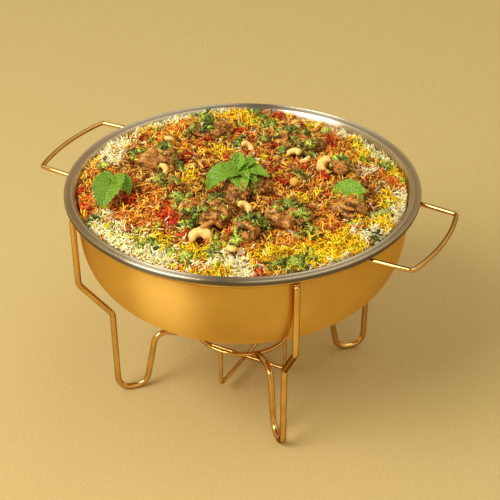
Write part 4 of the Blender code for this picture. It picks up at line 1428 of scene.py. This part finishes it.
MEAT_SWELL = 1.8 * MM
MEAT_TURNS = {  # which way each chunk's fibres run
    "meat_left": 24, "meat_back_left": 34, "meat_back": 20, "meat_right_back": 40, "meat_middle": 10,
    "meat_middle_small": 15, "meat_streaky": 18, "meat_right": 20, "meat_front": 10, "meat_bone_side": 12,
    "meat_front_left": 20,
}


class BIRYANI_OT_meat(Operator):
    """Build the chunks of meat with their fibres, creases and spice crust, and the bone"""

    bl_idname = "biryani.meat"
    bl_label = "Meat"

    def add_chunks(self, settings):
        meat = food_material(
            "braised_meat", settings.dark, settings.brown, settings.light, scale=420.0, contrast=2.1, wet=0.5,
            dry_roughness=0.6, wet_roughness=0.38, coat=0.12, relief=0.45 * MM, toned=True
        )
        for index, name in enumerate(CHUNKS):
            points, normals, faces = remeshed(name, settings.detail)
            turn = math.radians(MEAT_TURNS[name])
            along = points[:, 0] * math.cos(turn) + points[:, 1] * math.sin(turn)
            across = -points[:, 0] * math.sin(turn) + points[:, 1] * math.cos(turn)
            lumps = ripple(points, 15 * MM, 100 + index)
            knots = ripple(points, 6.5 * MM, 120 + index)
            bent = across + 1.6 * MM * ripple(points, 22 * MM, 140 + index)
            strands = np.column_stack([along / 6, bent, points[:, 2]])
            fibres = ripple(strands, 2.7 * MM, 160 + index)
            bundles = ripple(strands, 6.0 * MM, 180 + index)
            grit = ripple(points, 2.2 * MM, 200 + index)
            crust = np.clip(0.5 + 0.5 * ripple(points, 18 * MM, 220 + index), 0, 1)
            relief = 1.1 * lumps + 0.3 * knots + 0.4 * bundles
            relief = relief + (1 - crust) * 0.45 * fibres + (0.1 + 0.2 * crust) * grit
            relief -= 2.0 * np.clip(-bundles - 0.9, 0, 1)
            points = points + normals * (relief * MM + MEAT_SWELL)[:, None]
            # the tone follows the relief, as painted light on ridges and painted shade in creases; darker
            # towards each chunk's bottom is painted shade
            tone = 0.56 + 0.20 * fibres * (1 - crust) + 0.08 * knots + 0.16 * bundles + 0.14 * grit * crust
            height = (points[:, 2] - points[:, 2].min()) / np.ptp(points[:, 2])
            tone = np.clip(tone - 0.65 * (1 - height) ** 1.4, 0, 1)
            add_piece(f"{name}_chunk", points, faces, meat, slot="meat", replaces=(name,), tone=tone)

    def add_bone(self, settings):
        ivory = settings.bone
        bone = food_material("bone", shade(ivory, 0.4), ivory, shade(ivory, 1.5), scale=260.0, contrast=1.8)
        low, high = corners_of("bone")
        middle = (low + high) / 2
        turn = math.radians(75)
        direction = np.array([math.cos(turn), math.sin(turn), 0])
        steps = np.linspace(-0.42, 0.5, 26)
        path = middle + direction * 26 * MM * steps[:, None]
        path[:, 2] += 0.8 * MM * np.cos(steps * math.pi)
        widths = (5.4 - 1.6 * steps + 0.8 * np.exp(-((steps + 0.42) / 0.08) ** 2)) * MM
        points, faces = tube(path, widths, 16)
        around = np.column_stack([(points - middle) @ direction / 5, points[:, 1], points[:, 2]])
        points = points + 0.25 * MM * ripple(around, 1.8 * MM, 90)[:, None] * np.array([0, 0.4, 1.0])
        add_piece("bone_end", points, faces, bone, slot="bone", replaces=("bone",))

    def execute(self, context):
        settings = context.scene.biryani_meat
        self.add_chunks(settings)
        self.add_bone(settings)
        return {"FINISHED"}


# Nuts, spices and vegetables


def turned_points(points, turn, tilt=0, lean=0):
    turning = Matrix.Rotation(math.radians(turn), 3, "Z") @ Matrix.Rotation(math.radians(tilt), 3, "X")
    turning = turning @ Matrix.Rotation(math.radians(-lean), 3, "Y")
    return points @ np.array(turning).T


def round_outline(reach, steps):
    """A ball's outline from its foot to its tip, one unit in radius, with this reach in radians."""
    side = [(math.cos(angle), math.sin(angle)) for angle in np.linspace(-reach, reach, steps)]
    return np.array([(0, -1), *side, (0, 1)])


def dent(turn, middle, depth, width):
    """How far out the skin lies round a body with one long dent."""
    return 1 - depth * np.exp(-(((turn - middle) / width) ** 2))


def cashew(size):
    """A plump crescent with one heavier end and a faint seam, lying flat round the origin."""
    thick = 0.2 * size * MM
    bend = size * MM / 2 - thick
    along = np.linspace(0.06, 0.94, 30)
    angles = np.radians(-104 + 208 * along)
    blunt = (1 - np.abs(2 * along - 1) ** 4 * 0.5) * (1.12 - 0.24 * along)
    lift = 0.5 * MM * np.sin(3 * along)
    path = np.column_stack([bend * np.cos(angles), bend * np.sin(angles) * 1.04, lift])

    def seam(turn):
        return dent(turn % TAU, math.pi * 1.5, 0.07, 0.22)

    return tube(path, 2 * thick * blunt, 18, flat=0.94, reference=(0, 0, 1), groove=seam)


class BIRYANI_OT_nuts(Operator):
    """Build the fried cashews and the chickpea"""

    bl_idname = "biryani.nuts"
    bl_label = "Nuts"

    def add_cashews(self, pale, toast):
        fried = food_material(
            "fried_cashew", toast, pale, shade(pale, 1.25), scale=160.0, contrast=1.1, wet=0.5,
            dry_roughness=0.5, wet_roughness=0.3, coat=0.35, relief=0.12 * MM, toned=True
        )
        for index, nut in enumerate(NUTS):
            points, faces = cashew(nut.size)
            points = points * (1 + 0.035 * ripple(points, 7 * MM, 300 + index)[:, None])
            points = settle(turned_points(points, nut.turn, nut.tilt, nut.lean), nut.node) + [0, 0, NUT_RISE]
            # each nut is lighter towards its top: painted light; the ripple is its uneven browning
            high = (points[:, 2] - points[:, 2].min()) / np.ptp(points[:, 2])
            tone = np.clip(0.42 + 0.22 * high + 0.13 * ripple(points, 6 * MM, 320 + index), 0, 1)
            add_piece(f"{nut.node}_nut", points, faces, fried, slot="cashew", replaces=(nut.node,), tone=tone)

    def add_chickpea(self, base):
        cooked = food_material(
            "cooked_chickpea", shade(base, 0.45, 1.1), base, shade(base, 1.5), scale=300.0, contrast=1.4,
            wet=0.6, coat=0.4, relief=0.15 * MM
        )
        low, high = corners_of("chickpea")
        radius = (high - low).max() / 2
        points, faces = lathe(round_outline(1.45, 19) * radius, 32)
        unit = points / radius
        beak = 0.28 * np.exp(-((unit[:, 0] - 1) ** 2 + unit[:, 1] ** 2 + unit[:, 2] ** 2) / 0.16)
        crease = 0.1 * np.exp(-((unit[:, 1] / 0.12) ** 2)) * (unit[:, 0] > -0.2)
        skin = 0.03 * ripple(points, 3.5 * MM, 340)
        points = points * (0.94 + beak - crease + skin)[:, None]
        points = settle(turned_points(points, 40, 20), "chickpea") + [0, 0, NUT_RISE]
        add_piece("chickpea_seed", points, faces, cooked, slot="chickpea", replaces=("chickpea",))

    def execute(self, context):
        settings = context.scene.biryani_topping
        self.add_cashews(settings.cashew, settings.toast)
        self.add_chickpea(settings.chickpea)
        return {"FINISHED"}


class BIRYANI_OT_spices(Operator):
    """Build the tomato pieces, the cinnamon stick and the chilli piece"""

    bl_idname = "biryani.spices"
    bl_label = "Spices and vegetables"

    def add_tomatoes(self, red):
        soft = food_material(
            "tomato", shade(red, 0.5), red, shade(red, 1.5, 0.92), scale=170.0, contrast=1.2, wet=0.8,
            dry_roughness=0.35, wet_roughness=0.15, coat=0.6, relief=0.1 * MM
        )
        for index, (name, turn) in enumerate((("tomato_1", 40), ("tomato_2", 10))):
            low, high = corners_of(name)
            points, faces = lathe(round_outline(1.4, 15), 26)
            squared = (np.abs(points) ** 3.2).sum(1) ** (-1 / 3.2)
            points = points * squared[:, None] * (1 + 0.1 * ripple(points, 1.3, 350 + index))[:, None]
            points = turned_points(points, turn)
            points = points * ((high - low) / np.ptp(points, axis=0))
            add_piece(f"{name}_piece", settle(points, name), faces, soft, slot="tomato", replaces=(name,))

    def add_cinnamon(self, bark):
        rough_bark = food_material(
            "cinnamon_bark", shade(bark, 0.4), bark, shade(bark, 1.7), scale=330.0, contrast=2.0,
            wet=0.4, coat=0.2, relief=0.3 * MM
        )
        steps = np.linspace(-0.5, 0.5, 24)
        path = np.column_stack([20 * MM * steps, 0.5 * MM * np.sin(5 * steps), 0.3 * MM * np.cos(4 * steps)])

        def scroll(turn):
            return dent(turn, 0.6 * math.pi, 0.42, 0.26)

        widths = 4.1 * MM * (1 + 0.07 * np.sin(9 * steps))
        points, faces = tube(path, widths, 22, reference=(0, 0, 1), groove=scroll)
        ridged = np.column_stack([points[:, 0] / 6, points[:, 1], points[:, 2]])
        points = points * (1 + [0, 0.05, 0.05] * ripple(ridged, 1.1 * MM, 360)[:, None])
        points = settle(turned_points(points, 52), "cinnamon_stick")
        add_piece("cinnamon_quill", points, faces, rough_bark, slot="cinnamon", replaces=("cinnamon_stick",))

    def add_chilli(self, green):
        waxy = food_material(
            "green_chilli", shade(green, 0.5), green, shade(green, 1.4), scale=150.0, contrast=1.2, wet=0.7,
            dry_roughness=0.4, wet_roughness=0.2, coat=0.4, relief=0.15 * MM
        )
        steps = np.linspace(0, 1, 26)
        sway, rise = 1.6 * MM * np.sin(2.6 * steps), 0.4 * MM * np.cos(3 * steps)
        path = np.column_stack([24 * MM * (steps - 0.5), sway, rise])
        widths = (9.0 - 5.0 * steps**1.3) * MM * (1 - 0.25 * np.exp(-((steps / 0.05) ** 2)))

        def folds(turn):
            return 1 + 0.05 * np.cos(3 * turn + 0.7)

        points, faces = tube(path, widths, 20, flat=0.8, reference=(0, 0, 1), groove=folds)
        points = points + 0.2 * MM * ripple(points, 5 * MM, 370)[:, None] * np.array([0, 1, 1])
        points = settle(turned_points(points, 205), "chilli_piece")
        add_piece("chilli_strip", points, faces, waxy, slot="chilli", replaces=("chilli_piece",))

    def execute(self, context):
        settings = context.scene.biryani_topping
        self.add_tomatoes(settings.tomato)
        self.add_cinnamon(settings.cinnamon)
        self.add_chilli(settings.chilli)
        return {"FINISHED"}


# Mint and chopped herbs

BLADE_STATIONS = 44
BLADE_HALF_ROWS = 13
BLADE_TEETH = 10
SIDE_VEINS = 7


def mint_blade(leaf, thickness, seed):
    """A toothed blade with sunken veins, bent along its length: its mesh, vein values and tones."""
    size, width, cup = leaf.length * MM, leaf.width * MM, leaf.cup * MM
    along = np.linspace(0, 1, BLADE_STATIONS)
    slope = np.radians(leaf.pitch - leaf.droop * along)
    step = size / (BLADE_STATIONS - 1)
    forward = np.column_stack([np.cos(slope), np.zeros(BLADE_STATIONS), np.sin(slope)])
    upward = np.column_stack([-np.sin(slope), np.zeros(BLADE_STATIONS), np.cos(slope)])
    spine = np.vstack([np.zeros(3), np.cumsum(forward[1:] * step, 0)])
    half = width / 2 * np.sin(math.pi * (0.04 + 0.94 * along) ** 0.8) ** 0.85
    half = np.maximum(half, 0.03 * width)
    saw = 1 - 0.17 * ((along * BLADE_TEETH) % 1) * np.sin(math.pi * np.clip(along, 0.02, 0.98)) ** 0.5
    across = np.linspace(-1, 1, 2 * BLADE_HALF_ROWS + 1)
    s, a = np.meshgrid(along, across, indexing="ij")
    reach = (half * saw)[:, None] * across[None]
    phase = (s - 0.30 * np.abs(a) ** 1.15 * (width / size)) * SIDE_VEINS
    near_vein = np.abs((phase % 1) - 0.5) * 2
    side_vein = np.exp(-((1 - near_vein) / 0.20) ** 2) * np.exp(-np.abs(a) * 0.7)
    mid_vein = np.exp(-((np.abs(a) * half[:, None] / (0.55 * MM)) ** 2))
    vein = np.clip(np.maximum(mid_vein, 0.8 * side_vein), 0, 1)
    pillow = 0.9 * MM * (1 - side_vein) * np.sin(math.pi * np.clip(np.abs(a), 0, 1)) * np.sin(math.pi * s)
    ruffle = 0.35 * MM * np.sin(s * 37 + seed) * np.abs(a) ** 3
    flat = np.column_stack([(s * size).ravel(), reach.ravel()])
    quilt = ripple(flat, 2.6 * MM, 400 + seed).reshape(s.shape)
    lift = cup * np.abs(a) ** 1.3 * half[:, None] / width * 2
    lift = lift + pillow - 0.45 * MM * mid_vein + ruffle + 0.45 * MM * quilt
    lobes = 0.17 * size * np.abs(a) ** 1.6 * np.exp(-((s / 0.22) ** 2))
    top = spine[:, None] + upward[:, None] * lift[..., None] + np.array([0, 1, 0]) * reach[..., None]
    top = top - forward[:, None] * lobes[..., None]
    bottom = top - upward[:, None] * thickness
    rows, columns = s.shape
    points = np.vstack([top.reshape(-1, 3), bottom.reshape(-1, 3)])
    under = rows * columns
    upper = grid_faces(rows, columns)
    edge = np.concatenate([
        np.arange(columns),
        np.arange(1, rows) * columns + columns - 1,
        (rows - 1) * columns + np.arange(columns - 2, -1, -1),
        np.arange(rows - 2, 0, -1) * columns,
    ])
    after = np.roll(edge, -1)
    wall = np.stack([edge, edge + under, after + under, after], 1)
    faces = [np.vstack([upper[:, ::-1], (upper + under), wall[:, ::-1]])]
    spin = Matrix.Rotation(math.radians(leaf.turn), 3, "Z") @ Matrix.Rotation(math.radians(leaf.roll), 3, "X")
    points = points @ np.array(spin).T
    # lighter on the raised quilting and the pillows between the veins, darker along the sunken midrib:
    # painted light and painted shade
    shading = 0.2 * quilt + 0.12 * (1 - side_vein) - 0.1 * np.exp(-((a / 0.12) ** 2))
    tones = np.clip(leaf.tone + np.tile(shading.ravel(), 2), 0.02, 0.98)
    return (points, faces), np.concatenate([vein.ravel(), np.full(vein.size, 0.5)]), tones


class BIRYANI_OT_mint(Operator):
    """Build the mint leaves with their veins and toothed edges"""

    bl_idname = "biryani.mint"
    bl_label = "Mint"

    def leaf_material(self, green, pale):
        material, tree, shader, place = new_material("mint_leaf", coat_roughness=0.3, specular_ior_level=0.4)
        inputs = {
            "Vector": place, "Dark": shade(green, 0.5), "Middle": green, "Light": shade(green, 1.8),
            "Scale": 330.0, "Contrast": 1.8, "Tone": attribute(tree, "tone")
        }
        blade = placed_group(tree, "Mottle", inputs)
        veined = mixed(tree, maths(tree, "MULTIPLY", attribute(tree, "vein"), 0.4), blade["Colour"], pale)
        tree.links.new(veined, shader.inputs["Base Color"])
        inputs = {"Vector": place, "Share": 0.5, "Dry": 0.55, "Wet": 0.38, "Scale": 60.0}
        tree.links.new(placed_group(tree, "Oil film", inputs)["Roughness"], shader.inputs["Roughness"])
        bump(tree, shader, blade["Height"], 0.9 * MM)
        return material

    def execute(self, context):
        settings = context.scene.biryani_herb
        material = self.leaf_material(settings.mint, settings.mint_vein)
        for order, sprig in enumerate(SPRIGS):
            parts, veins, tones = [], [], []
            for index, leaf in enumerate(sprig.leaves):
                leaf_mesh, vein, tone = mint_blade(leaf, settings.leaf_thickness, 7 * order + index)
                parts.append(leaf_mesh)
                veins.append(vein)
                tones.append(tone)
            stem = np.array([(0, 0, -0.5), (0.3, 0.2, 0), (0.2, 0.1, 0.8)]) * MM
            parts.append(tube(stem, (1.6 * MM, 2.2 * MM, 1.6 * MM), 10))
            veins.append(np.full(len(parts[-1][0]), 0.6))
            tones.append(np.full(len(parts[-1][0]), 0.5))
            points, faces = joined(parts)
            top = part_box(sprig.node)[1].z + sprig.rise * MM
            points += [sprig.x * MM, sprig.y * MM, top - points[:, 2].max()]
            add_piece(
                f"{sprig.node}_leaves", points, faces, material, slot="mint", replaces=(sprig.node,),
                vein=np.concatenate(veins), tone=np.concatenate(tones)
            )
        return {"FINISHED"}


# Herbs, crumbs and onion: about how large and how many
LEAF_SIZE = 10.5 * MM
LEAF_GAIN = 1.6  # leaflets for each bit that a patch counts
LEAF_LIFT = 0.9 * MM
BIT_SIZE = 2 * MM
PALE_BIT_SIZE = 6.6 * MM
PALE_GAIN = 1.2
LOOSE_PALE_BITS = 300
CRUMB_SIZE = 1.75 * MM
CRUST_CRUMB_SIZE = 1.15 * MM
ONION_STRIPS = 300


def patch_places(patches, rng, gain=1.0):
    """Places inside the patches, crowded towards each middle."""
    xs, ys, piles = [], [], []
    for px, py, radius, number in patches:
        number = int(number * gain)
        out = radius * MM * 0.8 * np.abs(rng.normal(0, 1, number)).clip(0, 2.4)
        turn = rng.uniform(0, TAU, number)
        lean, narrow = rng.uniform(0, math.pi), rng.uniform(0.4, 1.0)
        along, across = out * np.cos(turn), out * np.sin(turn) * narrow
        xs.append(px * MM + along * math.cos(lean) - across * math.sin(lean))
        ys.append(py * MM + along * math.sin(lean) + across * math.cos(lean))
        piles.append(rng.uniform(0, 1.6, number) * MM * np.exp(-(out / (radius * MM)) ** 2))
    x, y, pile = np.concatenate(xs), np.concatenate(ys), np.concatenate(piles)
    keep = np.hypot(x, y) < RICE_RADIUS - 3 * MM
    return x[keep], y[keep], pile[keep]


def with_patches(x, y, patches, rng, gain=1.0):
    """The given loose places together with those inside the patches."""
    patch_x, patch_y, pile = patch_places(patches, rng, gain)
    return np.append(x, patch_x), np.append(y, patch_y), np.append(np.zeros(len(x)), pile)


class BIRYANI_OT_herbs(Operator):
    """Scatter the chopped coriander, the masala crumbs and the fried onion"""

    bl_idname = "biryani.herbs"
    bl_label = "Herbs, crumbs and onion"

    def leaf_pieces(self, name, spots, size, templates, material, rng, tones):
        """Scraps of leaf of about one size, laid on the food or on each other."""
        x, y, pile = spots
        number = len(x)
        z, normals, under = landed(x, y)
        frames = frames_on(
            normals, rng.uniform(0, TAU, number), np.radians(rng.normal(6, 19, number)),
            np.radians(rng.normal(0, 20, number))
        )
        across = size * np.clip(rng.lognormal(-0.1, 0.35, number), 0.4, 2.0)
        narrow, thin = rng.uniform(0.6, 1.0, number), rng.uniform(0.6, 1.1, number)
        sizes = np.column_stack([across, across * narrow, across * thin])
        centres = np.column_stack([x, y, z]) + normals * (pile + LEAF_LIFT)[:, None]
        keep = under != ON_OTHER
        scatter(name, templates, centres[keep], frames[keep], sizes[keep], material, "herbs", tones[keep])

    def add_leaves(self, green, lime, loose_bits, rng):
        leafy = food_material(
            "coriander", shade(green, 0.16, 0.95), green, shade(green, 2.3, 1.05), scale=300.0, contrast=1.8,
            wet=0.5, dry_roughness=0.6, wet_roughness=0.32, coat=0.25, relief=0.2 * MM, toned=True
        )
        pale = food_material(
            "pale_herb", shade(lime, 0.5, 0.95), lime, shade(lime, 1.5), scale=240.0, contrast=1.2,
            wet=0.5, coat=0.25, relief=0.2 * MM, toned=True
        )
        small = [leaf_bit_template(rng, 6, 0.4) for _ in range(8)]
        large = [leaf_bit_template(rng, 12, 0.6) for _ in range(8)]
        leaflets = [leaflet_template(rng) for _ in range(8)]
        spots = patch_places(GREEN_PATCHES, rng, LEAF_GAIN)
        tones = clumped_tones(*spots[:2], rng, 0.50, 0.33)
        self.leaf_pieces("coriander_leaves", spots, LEAF_SIZE, leaflets, leafy, rng, tones)
        loose = scattered(loose_bits, RICE_RADIUS - 4 * MM, rng, 6 * MM)
        spots = with_patches(*loose, GREEN_PATCHES, rng)
        keep = np.hypot(*spots[:2]) < RICE_RADIUS - 3 * MM
        spots = [each[keep] for each in spots]
        tones = clumped_tones(*spots[:2], rng, 0.45, 0.25)
        self.leaf_pieces("coriander_bits", spots, BIT_SIZE, small, leafy, rng, tones)
        loose = scattered(LOOSE_PALE_BITS, RICE_RADIUS - 6 * MM, rng, 8 * MM)
        spots = with_patches(*loose, LIME_PATCHES, rng, PALE_GAIN)
        tones = np.clip(rng.normal(0.6, 0.22, len(spots[0])), 0, 1)
        self.leaf_pieces("pale_herb_bits", spots, PALE_BIT_SIZE, large, pale, rng, tones)

    def add_crumbs(self, rice, rng):
        """Crumbs of masala over the food, and finer ones as a crust on the meat."""
        spice = rice.crumb
        crumbs = food_material(
            "masala_crumb", shade(spice, 0.25), spice, shade(spice, 2.2), scale=400.0, contrast=1.6,
            wet=0.4, coat=0.15, relief=0.15 * MM, toned=True
        )
        x, y = scattered(rice.crumbs, RICE_RADIUS - 5 * MM, rng, 3 * MM)
        masala_share = kind_weights(x, y)[:, KINDS.index("masala")]
        z, normals, under = landed(x, y)
        share = np.where(under == ON_MEAT, 0.4, 0.1 + 1.2 * masala_share) * (under != ON_OTHER)
        keep = rng.random(len(x)) < share
        x, y, z, normals, under = (each[keep] for each in (x, y, z, normals, under))
        number = len(x)
        frames = frames_on(normals, rng.uniform(0, TAU, number), rng.normal(0, 0.5, number))
        across = CRUMB_SIZE * np.clip(rng.lognormal(0, 0.4, number), 0.4, 2.4)
        sizes = across[:, None] * rng.uniform(0.6, 1.2, (number, 3))
        lifts = np.where(under == ON_MEAT, 0.2 * across, rng.uniform(0.2, 2.2, number) * MM)
        centres = np.column_stack([x, y, z]) + normals * lifts[:, None]
        tones = clumped_tones(x, y, rng, 0.44, 0.26)
        templates = [crumb_template(rng) for _ in range(6)]
        scatter("masala_crumbs", templates, centres, frames, sizes, crumbs, "rice", tones)

        x, y, z, normals = on_meat(rice.crust_crumbs, rng)
        number = len(x)
        frames = frames_on(normals, rng.uniform(0, TAU, number), rng.normal(0, 0.5, number))
        across = CRUST_CRUMB_SIZE * rng.lognormal(0, 0.35, (number, 1))
        sizes = across * rng.uniform(0.6, 1.2, (number, 3))
        centres = np.column_stack([x, y, z]) + normals * 0.1 * MM
        tones = clumped_tones(x, y, rng, 0.46, 0.3)
        scatter("meat_crust_crumbs", templates, centres, frames, sizes, crumbs, "meat", tones)

    def add_onion(self, brown, rng):
        crisp = food_material(
            "fried_onion", shade(brown, 0.3), shade(brown, 0.8), shade(brown, 1.3, 1.1), scale=300.0,
            contrast=1.4, wet=0.6, coat=0.1, relief=0.15 * MM, toned=True
        )
        x, y = scattered(ONION_STRIPS, RICE_RADIUS - 10 * MM, rng, 6 * MM)
        z, normals, under = landed(x, y)
        keep = (np.hypot(x, y) < RICE_RADIUS - 8 * MM) & (under != ON_OTHER)
        keep &= [clear_of_toppings(*place, 5 * MM) for place in zip(x, y)]
        x, y, z, normals = x[keep], y[keep], z[keep], normals[keep]
        number = len(x)
        frames = frames_on(normals, rng.uniform(0, TAU, number), np.radians(rng.normal(6, 14, number)))
        lengths = rng.uniform(7, 15, number) * MM
        widths, heights = rng.uniform(1.2, 2.2, number) * MM, rng.uniform(0.7, 1.2, number) * MM
        sizes = np.column_stack([lengths, widths, heights])
        centres = np.column_stack([x, y, z]) + normals * 1.2 * MM
        tones = np.clip(rng.normal(0.45, 0.25, number), 0, 1)
        scatter(
            "fried_onion_strips", [strip_template(rng) for _ in range(6)], centres, frames, sizes, crisp,
            "fried_onion", tones, rng.normal(18, 14, number)
        )

    def execute(self, context):
        herbs = context.scene.biryani_herb
        rng = np.random.default_rng(17)
        self.add_leaves(herbs.coriander, herbs.lime, herbs.loose_bits, rng)
        self.add_crumbs(context.scene.biryani_rice, rng)
        self.add_onion(herbs.onion, rng)
        return {"FINISHED"}


# Stage

CAMERA_PLACE = (0.59714, -1.08831, 0.97247)
CAMERA_AIM = (0.00707, 0.00388, 0.17206)
CAMERA_ROLL = -0.136
VIEW_BEARING = 298.75  # from the bowl towards the camera
LAMP_OFFSET = (1.03, 1.62, 1.96)  # towards the camera, to its left and up
LAMP_AIM = (0, 0, 0.18)
LAMP_SIZE = (1.5, 1.7)
LAMP_TONE = (1.0, 0.95, 0.84)
DARK_BEARING = 20  # a dark strip across the room, mirrored in the metal
DARK_STRIP = (0.05, 0.035, 0.02)
FLOOR_REACH = 9.0
FLOOR_CELLS = 24


class BIRYANI_OT_stage(Operator):
    """Set the floor, the lights and the camera"""

    bl_idname = "biryani.stage"
    bl_label = "Stage"

    def add_lamp(self, settings):
        """One large lamp above the floor on the left of the camera."""
        data = bpy.data.lights.new("key", "AREA")
        data.shape = "RECTANGLE"
        data.size, data.size_y = LAMP_SIZE
        data.energy = settings.key_power
        data.color = LAMP_TONE
        lamp = bpy.data.objects.new("key", data)
        toward, left, up = LAMP_OFFSET
        aside = polar(1, VIEW_BEARING, 0) * toward - polar(1, VIEW_BEARING - 270, 0) * left
        lamp.location = aside + Vector((0, 0, up))
        lamp.rotation_euler = (Vector(LAMP_AIM) - lamp.location).to_track_quat("-Z", "Y").to_euler()
        bpy.context.scene.collection.objects.link(lamp)

    def add_floor(self, weave):
        material, tree, shader, place = new_material("floor_cloth", roughness=0.85, specular_ior_level=0.15)
        inputs = {
            "Vector": place, "Dark": shade(weave, 0.82), "Middle": weave,
            "Light": shade(weave, 1.12), "Scale": 300.0, "Contrast": 1.6
        }
        cloth = placed_group(tree, "Mottle", inputs)
        tree.links.new(cloth["Colour"], shader.inputs["Base Color"])
        bump(tree, shader, cloth["Height"], 0.2 * MM, 0.3)
        places = np.linspace(-FLOOR_REACH, FLOOR_REACH, FLOOR_CELLS + 1)
        x, y = np.meshgrid(places, places, indexing="ij")
        points = np.column_stack([x.ravel(), y.ravel(), np.full(x.size, -0.2 * MM)])
        faces = grid_faces(FLOOR_CELLS + 1, FLOOR_CELLS + 1)[:, ::-1]
        floor = add_piece("floor", points, faces, material, body=None)

    def add_room(self, scene, settings):
        """The light all round: dark low down, bright overhead, with one dark strip."""
        world = bpy.data.worlds.new("studio")
        scene.world = world
        world.use_nodes = True
        tree = world.node_tree
        place = node(tree, "ShaderNodeTexCoord").outputs["Generated"]
        up = node(tree, "ShaderNodeSeparateXYZ", {0: place}).outputs[2]
        low, high = eased(tree, up, 0.12, 0.60), eased(tree, up, 0.60, 0.86)
        horizon, shoulder, ceiling = settings.horizon, settings.shoulder, settings.ceiling
        room = mixed(tree, high, mixed(tree, low, horizon, shoulder), ceiling)
        across = {0: place, 1: polar(1, DARK_BEARING, 0)}
        aside = node(tree, "ShaderNodeVectorMath", across, operation="DOT_PRODUCT").outputs["Value"]
        aside = maths(tree, "ABSOLUTE", maths(tree, "ADD", aside, 0.12))
        strip = maths(tree, "MULTIPLY", eased(tree, aside, 0.30, 0.08), eased(tree, up, 0.05, 0.3))
        room = mixed(tree, maths(tree, "MULTIPLY", strip, 0.85), room, DARK_STRIP)
        background = tree.nodes["Background"]
        tree.links.new(room, background.inputs["Color"])
        background.inputs["Strength"].default_value = settings.air_strength

    def add_camera(self, scene, lens):
        data = bpy.data.cameras.new("camera")
        data.lens = lens
        data.sensor_width = 36
        data.clip_end = 50
        camera = bpy.data.objects.new("camera", data)
        place = Vector(CAMERA_PLACE)
        roll = Matrix.Rotation(math.radians(CAMERA_ROLL), 4, "Z")
        looking = (Vector(CAMERA_AIM) - place).to_track_quat("-Z", "Y").to_matrix().to_4x4()
        camera.matrix_world = Matrix.Translation(place) @ looking @ roll
        scene.collection.objects.link(camera)
        scene.camera = camera

    def execute(self, context):
        scene = context.scene
        settings = scene.biryani_stage
        self.add_floor(settings.floor)
        self.add_lamp(settings)
        self.add_room(scene, settings)
        self.add_camera(scene, settings.lens)
        scene.view_settings.view_transform = "Standard"
        return {"FINISHED"}


class BIRYANI_PT_panel(Panel):
    """Lists the steps that build the biryani's looks"""

    bl_idname = "BIRYANI_PT_panel"
    bl_label = "Biryani"
    bl_space_type = "VIEW_3D"
    bl_region_type = "UI"
    bl_category = "Biryani"

    def draw(self, context):
        layout = self.layout
        for operator in OPERATORS:
            layout.operator(operator.bl_idname)
        for key in SETTINGS:
            box = layout.box()
            group = getattr(context.scene, key)
            for name in group.__annotations__:
                box.prop(group, name)


OPERATORS = (
    BIRYANI_OT_bowl,
    BIRYANI_OT_stand,
    BIRYANI_OT_meat,
    BIRYANI_OT_nuts,
    BIRYANI_OT_spices,
    BIRYANI_OT_rice,
    BIRYANI_OT_mint,
    BIRYANI_OT_herbs,
    BIRYANI_OT_stage,
)
SETTINGS = {
    "biryani_bowl": BowlSettings,
    "biryani_stand": StandSettings,
    "biryani_rice": RiceSettings,
    "biryani_meat": MeatSettings,
    "biryani_topping": ToppingSettings,
    "biryani_herb": HerbSettings,
    "biryani_stage": StageSettings,
}


def register():
    for group in SETTINGS.values():
        bpy.utils.register_class(group)
    for key, group in SETTINGS.items():
        setattr(bpy.types.Scene, key, PointerProperty(type=group))
    for operator in OPERATORS:
        bpy.utils.register_class(operator)
    bpy.utils.register_class(BIRYANI_PT_panel)


def unregister():
    bpy.utils.unregister_class(BIRYANI_PT_panel)
    for operator in reversed(OPERATORS):
        bpy.utils.unregister_class(operator)
    for key in SETTINGS:
        delattr(bpy.types.Scene, key)
    for group in reversed(SETTINGS.values()):
        bpy.utils.unregister_class(group)


def main():
    register()
    for operator in OPERATORS:
        family, name = operator.bl_idname.split(".")
        getattr(getattr(bpy.ops, family), name)()


if __name__ == "__main__":
    main()
